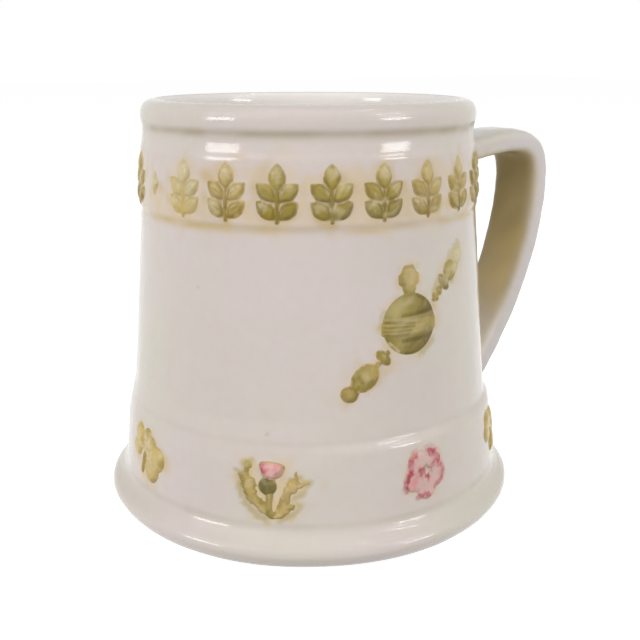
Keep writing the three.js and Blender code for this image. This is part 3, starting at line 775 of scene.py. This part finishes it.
def relief_field(motif):
    """Height over the wall, depth inside the outline, paint and brush strokes over a fine grid"""
    forms = motif["forms"]
    outlines = np.concatenate([item["outline"] for item in forms])
    low = outlines.min(0) - 3 * RELIEF_STEP - GRID_MARGIN
    high = outlines.max(0) + 3 * RELIEF_STEP + GRID_MARGIN
    axes = [np.arange(low[axis], high[axis], RELIEF_STEP) for axis in (0, 1)]
    grid = np.stack(np.meshgrid(*axes, indexing="ij"), -1)
    flat = grid.reshape(-1, 2)
    heights, depths, shares = [], [], []
    for item in forms:
        depth = depth_in(flat, item["outline"])
        if "ragged" in item:
            depth = depth + item["ragged"] * ripple(flat, RAGGED_WAVE, 50)
        share = np.clip(depth / item["rounding"], 0, 1)
        height = item["height"] * (0.06 + 0.94 * smooth(-0.2, 1, share))
        if item["rib"] is not None:
            beside = near_line(flat, *item["rib"]) / RIB_WIDTH
            height -= item["groove"] * np.exp(-beside ** 2) * share
        if "cup" in item:
            centre, reach = item["cup"]
            away = np.linalg.norm(flat - centre, axis=1)
            height -= CUP_DEPTH * np.exp(-(away / reach) ** 2)
        if "seeds" in item:
            seeds = np.cos(flat * SEED_TURNS)
            height += FINE_HEIGHT * seeds[:, 0] * seeds[:, 1] * share
        if "scales" in item:
            rising = np.cos((flat[:, 0] + flat[:, 1]) * SCALE_TURNS)
            falling = np.cos((flat[:, 0] - flat[:, 1]) * SCALE_TURNS)
            height += FINE_HEIGHT * rising * share * falling
        if "hairs" in item:
            spread = np.arctan2(flat[:, 0] - item["hairs"][0], flat[:, 1] - item["hairs"][1])
            height += FINE_HEIGHT * np.cos(spread * HAIR_TURNS) * share
        heights.append(np.where(depth > 0, height, -np.inf))
        depths.append(depth)
        shares.append(share)
    depth = np.max(depths, axis=0)
    winner = np.argmax(heights, axis=0)
    top = np.max(heights, axis=0)
    outside = -RELIEF_SINK * smooth(0, SKIRT_FALL, -depth)
    height = np.where(depth > 0, top, outside)
    share = np.take_along_axis(np.array(shares), winner[None], 0)[0]
    shape = grid.shape[:2]
    height = height.reshape(shape)
    for _ in range(4):
        height = softened(softened(height, 1).T, 1).T
    paints = np.array([item["paint"] for item in forms])[winner].reshape(*shape, 2, 3)
    gaps = [near_path(flat, item["points"]).reshape(shape) for item in motif["strokes"]]
    return {"calm": motif.get("calm", 1.0), "rim": motif.get("edge", PEACH), "grid": grid,
            "height": height, "depth": depth.reshape(shape), "share": share.reshape(shape),
            "paints": paints, "gaps": gaps, "strokes": motif["strokes"]}


def on_wall(grid, height, angle, level):
    stage = level + grid[..., 1]
    radius = wall_radius(stage) + height
    return round_body(radius, angle + np.arcsin(grid[..., 0] / radius), stage)


def patch_faces(keep, back):
    """Front, back and side quads of the kept cells of a grid, closed all round"""
    rows, columns = keep.shape
    index = np.arange((rows + 1) * (columns + 1)).reshape(rows + 1, columns + 1)
    a, b, c, d = index[:-1, :-1], index[1:, :-1], index[1:, 1:], index[:-1, 1:]
    padded = np.pad(keep, 1)
    inner = padded[1:-1, 1:-1]
    quads = [np.stack([a, b, c, d], -1)[keep], np.stack([a, d, c, b], -1)[keep] + back]
    sides = [
        (a, d, padded[:-2, 1:-1]),
        (c, b, padded[2:, 1:-1]),
        (b, a, padded[1:-1, :-2]),
        (d, c, padded[1:-1, 2:]),
    ]
    for first, second, beside in sides:
        bare = inner & ~beside
        quads.append(np.stack([first, second, second + back, first + back], -1)[bare])
    return np.concatenate(quads)


def relief_mesh(name, field, angle, level, seed):
    front = on_wall(field["grid"], field["height"], angle, level)
    rear = on_wall(field["grid"], np.full(field["height"].shape, -RELIEF_BACK), angle, level)
    near = field["depth"] > -SKIRT
    keep = near[:-1, :-1] | near[1:, :-1] | near[1:, 1:] | near[:-1, 1:]
    count = front.shape[0] * front.shape[1]
    quads = patch_faces(keep, count)
    used, renamed = np.unique(quads, return_inverse=True)
    points = np.concatenate([front.reshape(-1, 3), rear.reshape(-1, 3)])[used]
    paint = relief_paint(field, front, seed).reshape(-1, 3)
    paint = np.concatenate([paint, paint])[used]
    return mesh_object(name, points + AXIS, renamed.reshape(-1, 4).tolist(), paint)


def stroke_cover(width, gap, waver, full, gone):
    """How much of a stroke's colour lies at each point, over an edge that wavers"""
    ragged = gap + width * (waver - 0.1)
    return 1 - smooth(width * full, width * gone, ragged)


def relief_paint(field, points, seed):
    """Washes pooled at the edges, worn thin on the high places, with soft strokes over them"""
    calm = field["calm"]
    broad = calm * ripple(points, BROAD_WAVE, 100 + seed)
    fine = calm * ripple(points, FINE_WAVE, 200 + seed)
    share = smooth(-0.25, 1, field["share"] + 0.14 * broad + 0.1 * fine)
    low = field["grid"][..., 1]
    share = share * 0.72 + 0.3 * low / max(abs(low.min()), low.max())
    pooled, thin = np.moveaxis(field["paints"], -2, 0)
    paint = mix(pooled, thin, np.clip(share, 0, 1))
    uneven = np.clip(0.88 + 0.25 * broad + 0.15 * fine, 0.2, 1)
    for index, (item, gap) in enumerate(zip(field["strokes"], field["gaps"])):
        waver = 0.2 * calm * ripple(points, STROKE_WAVE, 600 + seed + index)
        cover = stroke_cover(item["width"], gap, waver, 0.3, 1.4)
        paint = mix(paint, item["colour"], cover * item["strength"] * uneven)
    bare = calm * smooth(0.5, 2.2, ripple(points, BARE_WAVE, 300 + seed)) * 0.4
    paint = mix(paint, TINGE, bare)
    inside = smooth(-0.25, 0.45, field["depth"] + 0.08 * fine)
    return mix(field["rim"], paint, 0.25 + 0.75 * inside)


# Glaze on the body and handle

GREENER_SIDE = math.radians(-35)

# Darker bands at the ledge, under the frieze step, under the rim and at the top of the foot, as
# (level, spread, strength): glaze pooled in those corners, deepened with painted shade; under the
# rim the band is mostly painted shadow
POOLS_AND_SHADE = [(LEDGE + 2.9, 0.8, 0.14), (FRIEZE_STEP - 0.3, 0.7, 0.3), (RIM - 0.5, 1.0, 1.0),
         (FOOT_TOP - 0.7, 0.8, 0.35)]

# Colour runs a little to one side of each relief
HALO_SHIFT = np.array([0.35, -0.25])

# How far round and how far up a relief's wash can reach
HALO_ANGLE = 0.5
HALO_HEIGHT = 24

# Iron specks in the glaze as (angle, level, size, strength)
SPECKS = [(math.radians(-134.8), 30.2, 0.42, 0.26), (math.radians(-158), 61, 0.35, 0.25),
          (math.radians(70), 47, 0.45, 0.4), (math.radians(148), 66, 0.35, 0.3)]


def glaze_paint(points):
    """Warm off-white that drifts to pink, and to green near the handle, the rim and the foot"""
    drift = rippled(points, [(0.2, 60, 5), (0.1, 14, 6)], 0.35)
    angle = np.arctan2(points[:, 1], points[:, 0])
    level = points[:, 2]
    drift = drift + 0.35 * np.cos(2 * (angle - GREENER_SIDE))
    drift = drift + 0.4 * smooth(86, 94, level) + 0.35 * (1 - smooth(7, 14, level))
    tint = mix(GLAZE_PINK, GLAZE_GREEN, np.clip(drift, 0, 1))
    return mix(GLAZE_BASE, tint, 0.85)


def wrapped(angle):
    return (angle + math.pi) % math.tau - math.pi


def wash_round(paint, points, local, motif, wash, seed):
    """Colour that ran off a relief, and strokes that were brushed beside it"""
    spread, strength = wash
    beside = local - HALO_SHIFT
    depth = np.max([depth_in(beside, item["outline"]) for item in motif["forms"]], axis=0)
    reach = spread * (1 + 0.35 * ripple(points, 5, 700 + seed))
    halo = np.exp(-(np.maximum(-depth, 0) / np.maximum(reach, 0.3)) ** 1.6)
    cloud = np.clip(0.62 + 0.35 * ripple(points, 6, 400 + seed), 0, 1)
    tint = mix(PEACH, WASH, np.clip(0.45 + 0.45 * ripple(points, 7, 500 + seed), 0, 1))
    paint = mix(paint, tint, halo * cloud * strength)
    for index, item in enumerate(motif.get("ground", [])):
        waver = 0.25 * ripple(points, 1.6, 800 + seed + index)
        gap = near_path(local, item["points"])
        cover = stroke_cover(item["width"], gap, waver, 0.2, 1.6)
        paint = mix(paint, item["colour"], cover * item["strength"])
    return paint


def vessel_paint(points, outside):
    paint = glaze_paint(points)
    radius = np.hypot(points[:, 0], points[:, 1])
    angle = np.arctan2(points[:, 1], points[:, 0])
    level = points[:, 2]
    uneven = 0.5 + 0.5 * np.clip(ripple(points, 12, 21), -1, 1)
    # Pooled glaze with painted shade in the corners, and a painted shadow under the rim
    for at, spread, amount in POOLS_AND_SHADE:
        pool_and_shade = np.exp(-((level - at) / spread) ** 2) * amount * outside * (0.6 + 0.4 * uneven)
        paint = mix(paint, POOLED_AND_SHADED, pool_and_shade)
    # Painted light: the inside walls above the floor are lightened
    painted_light = (1 - outside) * smooth(FLOOR + 1, FLOOR + 6, level)
    paint = mix(paint, INNER_PAINTED_LIGHT, 0.85 * painted_light)
    band = smooth(FRIEZE - 2.2, FRIEZE + 0.8, level) * (1 - smooth(NECK - 2.5, NECK + 0.5, level))
    cloud = np.clip(rippled(points, [(0.2, 20, 22), (0.1, 5, 23)], 0.3), 0, 1)
    paint = mix(paint, PEACH, band * outside * cloud)
    drip = np.exp(-(level - FRIEZE_STEP + 0.2) ** 2) * outside
    paint = mix(paint, WASH, drip * np.clip(0.56 + 0.24 * ripple(points, 8, 24), 0, 0.9))
    for seed, (_, motif, relief_angle, relief_level, _, _, wash) in enumerate(placements):
        across = wrapped(angle - relief_angle)
        near = (np.abs(across) < HALO_ANGLE) & (outside > 0.5)
        near &= np.abs(level - relief_level) < HALO_HEIGHT
        local = np.stack([radius[near] * np.sin(across[near]), level[near] - relief_level], 1)
        paint[near] = wash_round(paint[near], points[near], local, motif, wash, seed)
    for speck_angle, speck_level, size, strength in SPECKS:
        away = np.hypot(wrapped(angle - speck_angle) * radius, level - speck_level)
        paint = mix(paint, SPECK, np.exp(-(away / size) ** 2) * strength * outside)
    return paint


def handle_paint(points, inward, share):
    """Paint and gloss: pale glaze outside, a matt olive-brown stain on the face towards the body,
    and painted light at the shaded low end of that face
    """
    paint = glaze_paint(points)
    side = points[:, 1] / HANDLE_WIDTH
    flank = smooth(0.4, 0.5, np.abs(side)) * smooth(0.1, 0.25, share) * 0.6
    paint = mix(paint, HANDLE_FLANK, flank)
    # Painted light: the low end of the inner face is lightened where the body shades it
    painted_light = smooth(0.66, 0.82, share) * smooth(0.3, 0.8, inward)
    paint = mix(paint, HANDLE_FOOT_PAINTED_LIGHT, painted_light)
    fade = 1 - smooth(0.63, 0.82, share + 0.02 * ripple(points, 16, 32))
    fringe = smooth(0.25, 0.85, inward + 0.06 * ripple(points, 16, 35)) * (0.1 + 0.9 * fade)
    paint = mix(paint, HANDLE_FRINGE, fringe * 0.65)
    wash = smooth(0.72, 0.97, inward + 0.03 * ripple(points, 18, 31))
    # The stain turns golden towards the low end, and is made extra light there as painted light
    warm = np.clip(2.5 * (share - 0.34) - 0.2 * side + 0.04 * ripple(points, 10, 33), 0, 1)
    tone = mix(*HANDLE_STAIN_AND_PAINTED_LIGHT, warm)
    cover = wash * (0.1 + 0.85 * fade)
    return mix(paint, tone, cover), 1 - 0.85 * np.maximum(cover, fringe * 0.7)


# Materials

def node_tree(owner):
    owner.use_nodes = True
    return owner.node_tree.nodes, owner.node_tree.links


def set_inputs(node, values):
    for name, value in values.items():
        node.inputs[name].default_value = value


# Scales of the noise in the glaze, and its orange-peel
MOTTLE_SCALE = 420
TINT_SCALE = 160
GLOSS_SCALE = 300
PEEL_SCALE = 520
PEEL = {"Strength": 0.18, "Distance": 0.00012}


def glazed(name, mottle, roughness, shine, stained=False):
    """Clear glossy glaze over the painted colour, with a fine mottle and a slight orange-peel.

    A stained one is matt where the paint's alpha is low.
    """
    material = bpy.data.materials.new(name)
    nodes, links = node_tree(material)
    shader = nodes["Principled BSDF"]
    set_inputs(shader, {"IOR": 1.5, "Specular IOR Level": shine})
    place = nodes.new("ShaderNodeTexCoord")
    paint = nodes.new("ShaderNodeAttribute")
    paint.attribute_name = "paint"

    def noise(scale, detail):
        node = nodes.new("ShaderNodeTexNoise")
        set_inputs(node, {"Scale": scale, "Detail": detail})
        links.new(place.outputs["Object"], node.inputs["Vector"])
        return node.outputs["Fac"]

    def ranged(value, low, high, start=0.3, end=0.7):
        node = nodes.new("ShaderNodeMapRange")
        set_inputs(node, {"From Min": start, "From Max": end, "To Min": low, "To Max": high})
        links.new(value, node.inputs["Value"])
        return node.outputs["Result"]

    tone = nodes.new("ShaderNodeHueSaturation")
    links.new(paint.outputs["Color"], tone.inputs["Color"])
    value = ranged(noise(MOTTLE_SCALE, 6), 1 - mottle, 1 + mottle)
    tint = ranged(noise(TINT_SCALE, 3), 1 - 2 * mottle, 1 + 2 * mottle)
    gloss = ranged(noise(GLOSS_SCALE, 4), roughness * 0.7, roughness * 1.4)
    links.new(value, tone.inputs["Value"])
    links.new(tint, tone.inputs["Saturation"])
    links.new(tone.outputs["Color"], shader.inputs["Base Color"])
    links.new(gloss, shader.inputs["Roughness"])
    if stained:
        level = ranged(paint.outputs["Alpha"], 0, shine, 0, 1)
        links.new(level, shader.inputs["Specular IOR Level"])
    bump = nodes.new("ShaderNodeBump")
    set_inputs(bump, PEEL)
    links.new(noise(PEEL_SCALE, 2), bump.inputs["Height"])
    links.new(bump.outputs["Normal"], shader.inputs["Normal"])
    return material


GLAZE = glazed("glaze", 0.012, 0.1, 0.25)
HANDLE_GLAZE = glazed("handle_glaze", 0.012, 0.1, 0.25, stained=True)
OLIVE_GLAZE = glazed("olive_glaze", 0.04, 0.32, 0.22)
GREEN_GLAZE = glazed("green_glaze", 0.04, 0.32, 0.22)
ROSE_GLAZE = glazed("rose_glaze", 0.03, 0.3, 0.25)


def stand_for(piece, node, material):
    piece.data.materials.append(material)
    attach(piece, "root")
    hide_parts(node)


# Where the reliefs go

FRIEZE_MIDDLE = (FRIEZE + NECK) / 2
EMBLEM_MIDDLE = (FOOT_TOP + LEDGE) / 2
REGALIA_LEVEL = (BARREL + FRIEZE_STEP) / 2 + 1.8
REGALIA_ANGLE = math.radians(-92)
FRIEZE_PLACES = 21
PALE_LAURELS = (1, 4, 8, 11)
MID_LAURELS = (2, 5, 9, 12, 16, 17, 19)
EMBLEM_PLACES = 7
EMBLEM_START = -46.6
EMBLEM_PITCH = -43.5

# Reach and strength of the wash round each kind of relief
FRIEZE_WASH = (1.7, 0.85)
EMBLEM_WASH = (1.5, 0.8)
ROSE_WASH = (1.5, 0.3)
REGALIA_WASH = (1.3, 0.65)

laurels = [laurel(OLIVE, DEEP), laurel(MID_OLIVE, OLIVE[0]), laurel(PALE_OLIVE, GOLD)]
diamond = lozenge()
kinds = {"shamrock": shamrock(), "rose": rose(), "thistle": thistle()}
regalia = {"orb": orb(), "sceptre_lower": sceptre_lower(), "sceptre_upper": sceptre_upper()}

placements = []
handle_edge = math.asin((HANDLE_WIDTH / 2 + 0.6) / wall_radius(FRIEZE_MIDDLE))
arc = math.tau - 2 * handle_edge
for place in range(FRIEZE_PLACES):
    is_lozenge = place in (0, FRIEZE_PLACES // 2, FRIEZE_PLACES - 1)
    node = f"frieze_{'lozenge' if is_lozenge else 'laurel'}_{place + 1}"
    angle = handle_edge + arc * (place + 0.5) / FRIEZE_PLACES
    shade = 2 * (place in PALE_LAURELS) + (place in MID_LAURELS)
    motif = diamond if is_lozenge else laurels[shade]
    placements.append((node, motif, angle, FRIEZE_MIDDLE, "olive_sprig", OLIVE_GLAZE, FRIEZE_WASH))
for place in range(EMBLEM_PLACES):
    kind = list(kinds)[place % len(kinds)]
    look = ("green_sprig", GREEN_GLAZE, EMBLEM_WASH)
    if kind == "rose":
        look = ("rose_sprig", ROSE_GLAZE, ROSE_WASH)
    angle = math.radians(EMBLEM_START + EMBLEM_PITCH * place)
    placements.append((f"emblem_{kind}_{place + 1}", kinds[kind], angle, EMBLEM_MIDDLE, *look))
for node, motif in regalia.items():
    placements.append((node, motif, REGALIA_ANGLE, REGALIA_LEVEL, "olive_sprig", OLIVE_GLAZE,
                       REGALIA_WASH))


# Body

def build_vessel():
    profile = body_profile()
    rings = profile[1:-1]
    angle = np.arange(SEGMENTS)[None, :] * math.tau / SEGMENTS
    level = rings[:, 1, None]
    crest = int(np.argmax(level))
    fill = softened(glaze_fill(angle, level), FILL_PASSES) + foot_rings(angle, level)
    fill[crest:] = 0
    points = round_body(rings[:, 0, None] + fill, angle, level).reshape(-1, 3)
    poles = np.array([(0, 0, profile[0, 1]), (0, 0, profile[-1, 1])])
    points = np.concatenate([points, poles])
    outside = np.repeat((np.arange(len(rings)) <= crest).astype(float), SEGMENTS)
    outside = np.concatenate([outside, [0, 0]])
    paint = vessel_paint(points, outside)
    faces = turned_faces(len(rings), SEGMENTS)
    piece = mesh_object("glazed_vessel", points + AXIS, faces, paint)
    stand_for(piece, "vessel", GLAZE)


def handle_line():
    """Middle line of the strap, from the top root out to the bend and in to the ledge"""
    top_root = wall_radius(HANDLE_TOP) - ROOT_DEPTH
    low_root = wall_radius(HANDLE_LOW) - ROOT_DEPTH
    landing = 11.5 * np.array([math.cos(HANDLE_LANDING), math.sin(HANDLE_LANDING)])
    line = chained((top_root, HANDLE_TOP), [
        [(top_root + 22, HANDLE_TOP + 2.5), (HANDLE_REACH, HANDLE_BEND + 16.9),
         (HANDLE_REACH, HANDLE_BEND)],
        [(HANDLE_REACH, HANDLE_BEND - 24.7), (low_root + landing[0], HANDLE_LOW + landing[1]),
         (low_root, HANDLE_LOW)],
    ], steps=300)
    return spaced(line, HANDLE_STEP)


def handle_section():
    """A squarish oval with even points, as shares of the half thickness and half width"""
    at = np.linspace(0, math.tau, 721)[:-1]
    circle = np.stack([np.cos(at), np.sin(at)], 1)
    section = np.sign(circle) * np.abs(circle) ** (2 / HANDLE_SQUARENESS)
    closed = np.concatenate([section, section[:1]])
    return spaced(closed * SECTION_HALF, SECTION_STEP)[:-1] / SECTION_HALF


def with_roots(points, centre):
    """The points moved out where the strap meets the body, and made slightly uneven"""
    clear = np.hypot(points[..., 0], points[..., 1]) - wall_radius(points[..., 2])
    within = np.clip(1 - clear / HANDLE_FILLET, 0, 1)
    spread = HANDLE_FILLET * (1 - np.sqrt(1 - within ** 2))
    away = points - centre
    away[..., 0] *= 0.15
    away /= np.linalg.norm(away, axis=-1, keepdims=True)
    points = points + away * spread[..., None]
    return points + away * rippled(points, HANDLE_RIPPLES)[..., None]


def build_handle():
    line = handle_line()
    along = np.gradient(line, axis=0)
    along /= np.linalg.norm(along, axis=1)[:, None]
    normal = np.stack([-along[:, 1], along[:, 0]], 1)
    share = np.linspace(0, 1, len(line))
    half = (HANDLE_THICKNESS[0] + (HANDLE_THICKNESS[1] - HANDLE_THICKNESS[0]) * share) / 2
    section = handle_section()
    out = section[:, 0] * half[:, None]
    side = np.broadcast_to(section[:, 1] * HANDLE_WIDTH / 2, out.shape)
    x = line[:, 0, None] + normal[:, 0, None] * out
    z = line[:, 1, None] + normal[:, 1, None] * out
    centre = np.stack([line[:, 0], np.zeros(len(line)), line[:, 1]], 1)[:, None, :]
    points = with_roots(np.stack([x, side, z], -1), centre)
    rings, count = points.shape[:2]
    ends = np.array([points[0].mean(0), points[-1].mean(0)])
    inward = -section[None, :, 0] * np.ones((rings, 1))
    paint, gloss = handle_paint(points.reshape(-1, 3), inward.reshape(-1),
                                np.repeat(share, count))
    paint = np.concatenate([paint, paint[[0, -1]]])
    gloss = np.concatenate([gloss, gloss[[0, -1]]])
    points = np.concatenate([points.reshape(-1, 3), ends]) + AXIS
    piece = mesh_object("glazed_handle", points, turned_faces(rings, count), paint, gloss)
    stand_for(piece, "handle", HANDLE_GLAZE)


def build_reliefs():
    fields = {}
    for seed, (node, motif, angle, level, slot, material, _) in enumerate(placements):
        if id(motif) not in fields:
            fields[id(motif)] = relief_field(motif)
        piece = relief_mesh(f"{node}_glazed", fields[id(motif)], angle, level, seed)
        stand_for(piece, node, material)


build_vessel()
build_handle()
build_reliefs()


# Stage, light and camera

# Colour and glow of the floor, and strength of the world's light on the mug
FLOOR_GREY = (0.58, 0.58, 0.58, 1)
FLOOR_GLOW = 0.82
FLOOR_HALF = 4
WORLD_LIGHT = 0.29
WHITE = (1, 1, 1, 1)


def shown_directly(nodes, links):
    """1 on rays from the camera, a mirror or glass, else 0"""
    ray = nodes.new("ShaderNodeLightPath")
    shown = ray.outputs["Is Camera Ray"]
    for kind in ("Is Glossy Ray", "Is Transmission Ray"):
        larger = nodes.new("ShaderNodeMath")
        larger.operation = "MAXIMUM"
        links.new(shown, larger.inputs[0])
        links.new(ray.outputs[kind], larger.inputs[1])
        shown = larger.outputs[0]
    return shown


def floor_material():
    """Pale and plain to the light, near white to the eye, with the mug's shadow kept"""
    material = bpy.data.materials.new("floor_white")
    nodes, links = node_tree(material)
    shader = nodes["Principled BSDF"]
    set_inputs(shader, {"Base Color": FLOOR_GREY, "Roughness": 0.9, "Specular IOR Level": 0,
                        "Emission Color": WHITE})
    glow = nodes.new("ShaderNodeMath")
    glow.operation = "MULTIPLY"
    glow.inputs[1].default_value = FLOOR_GLOW
    links.new(shown_directly(nodes, links), glow.inputs[0])
    links.new(glow.outputs[0], shader.inputs["Emission Strength"])
    return material


floor_mesh = bpy.data.meshes.new("floor")
corners = [(x * FLOOR_HALF, y * FLOOR_HALF, 0) for x, y in ((-1, -1), (1, -1), (1, 1), (-1, 1))]
floor_mesh.from_pydata(corners, [], [(0, 1, 2, 3)])
floor_mesh.materials.append(floor_material())
in_scene("floor", floor_mesh)

world = bpy.data.worlds.new("studio")
bpy.context.scene.world = world
nodes, links = node_tree(world)
background = nodes["Background"]
level = nodes.new("ShaderNodeMapRange")
set_inputs(level, {"To Min": WORLD_LIGHT, "To Max": 1.0})
links.new(shown_directly(nodes, links), level.inputs["Value"])
links.new(level.outputs["Result"], background.inputs["Strength"])
set_inputs(background, {"Color": WHITE})

CAMERA_TURN = math.radians(-33)
CAMERA_YAW = math.radians(-0.69)
CAMERA_AWAY = 233.1
CAMERA_HEIGHT = 109.36
CAMERA_PITCH = math.radians(15.76)
LENS = 52.35

camera_data = bpy.data.cameras.new("camera")
camera_data.lens = LENS
camera_data.sensor_width = 36
camera = in_scene("camera", camera_data)
camera.location = ((AXIS_X + CAMERA_AWAY * math.sin(CAMERA_TURN)) * MM,
                   -CAMERA_AWAY * math.cos(CAMERA_TURN) * MM, CAMERA_HEIGHT * MM)
camera.rotation_euler = (math.pi / 2 - CAMERA_PITCH, 0, CAMERA_TURN + CAMERA_YAW)
bpy.context.scene.camera = camera


# Lights, each as (name, degrees from the camera's side, degrees up, metres away, width, height,
# watts): broad ones, two windows that the glaze mirrors, and slats for the streaks on the foot
AIM_HEIGHT = 0.05
LIGHTS = [
    ("light_over", -12, 60, 0.95, 0.9, 0.5, 1.1),
    ("light_left", -50, 30, 1.1, 0.9, 0.6, 2.4),
    ("light_right", 68, 26, 1.1, 0.9, 0.8, 1.25),
    ("window_left", -57, 12.5, 0.9, 0.33, 0.18, 2.7),
    ("window_right", 58, 11.5, 0.9, 0.28, 0.11, 1.6),
]
SLATS = [(58, 22), (58, 31), (59, 40), (62, 64)]
LIGHTS += [(f"window_slat_{number}", turn_by, elevation, 0.9, 0.28, 0.022, 0.4)
           for number, (turn_by, elevation) in enumerate(SLATS, 1)]

for name, turn_by, elevation, away, width, height, power in LIGHTS:
    light = bpy.data.lights.new(name, "AREA")
    light.shape = "RECTANGLE"
    light.size = width
    light.size_y = height
    light.energy = power
    lamp = in_scene(name, light)
    at = CAMERA_TURN + math.radians(turn_by)
    up = math.radians(elevation)
    lamp.location = (AXIS_X * MM + away * math.cos(up) * math.sin(at),
                     -away * math.cos(up) * math.cos(at), AIM_HEIGHT + away * math.sin(up))
    lamp.rotation_euler = (math.pi / 2 - up, 0, at)

bpy.context.scene.view_settings.view_transform = "Standard"
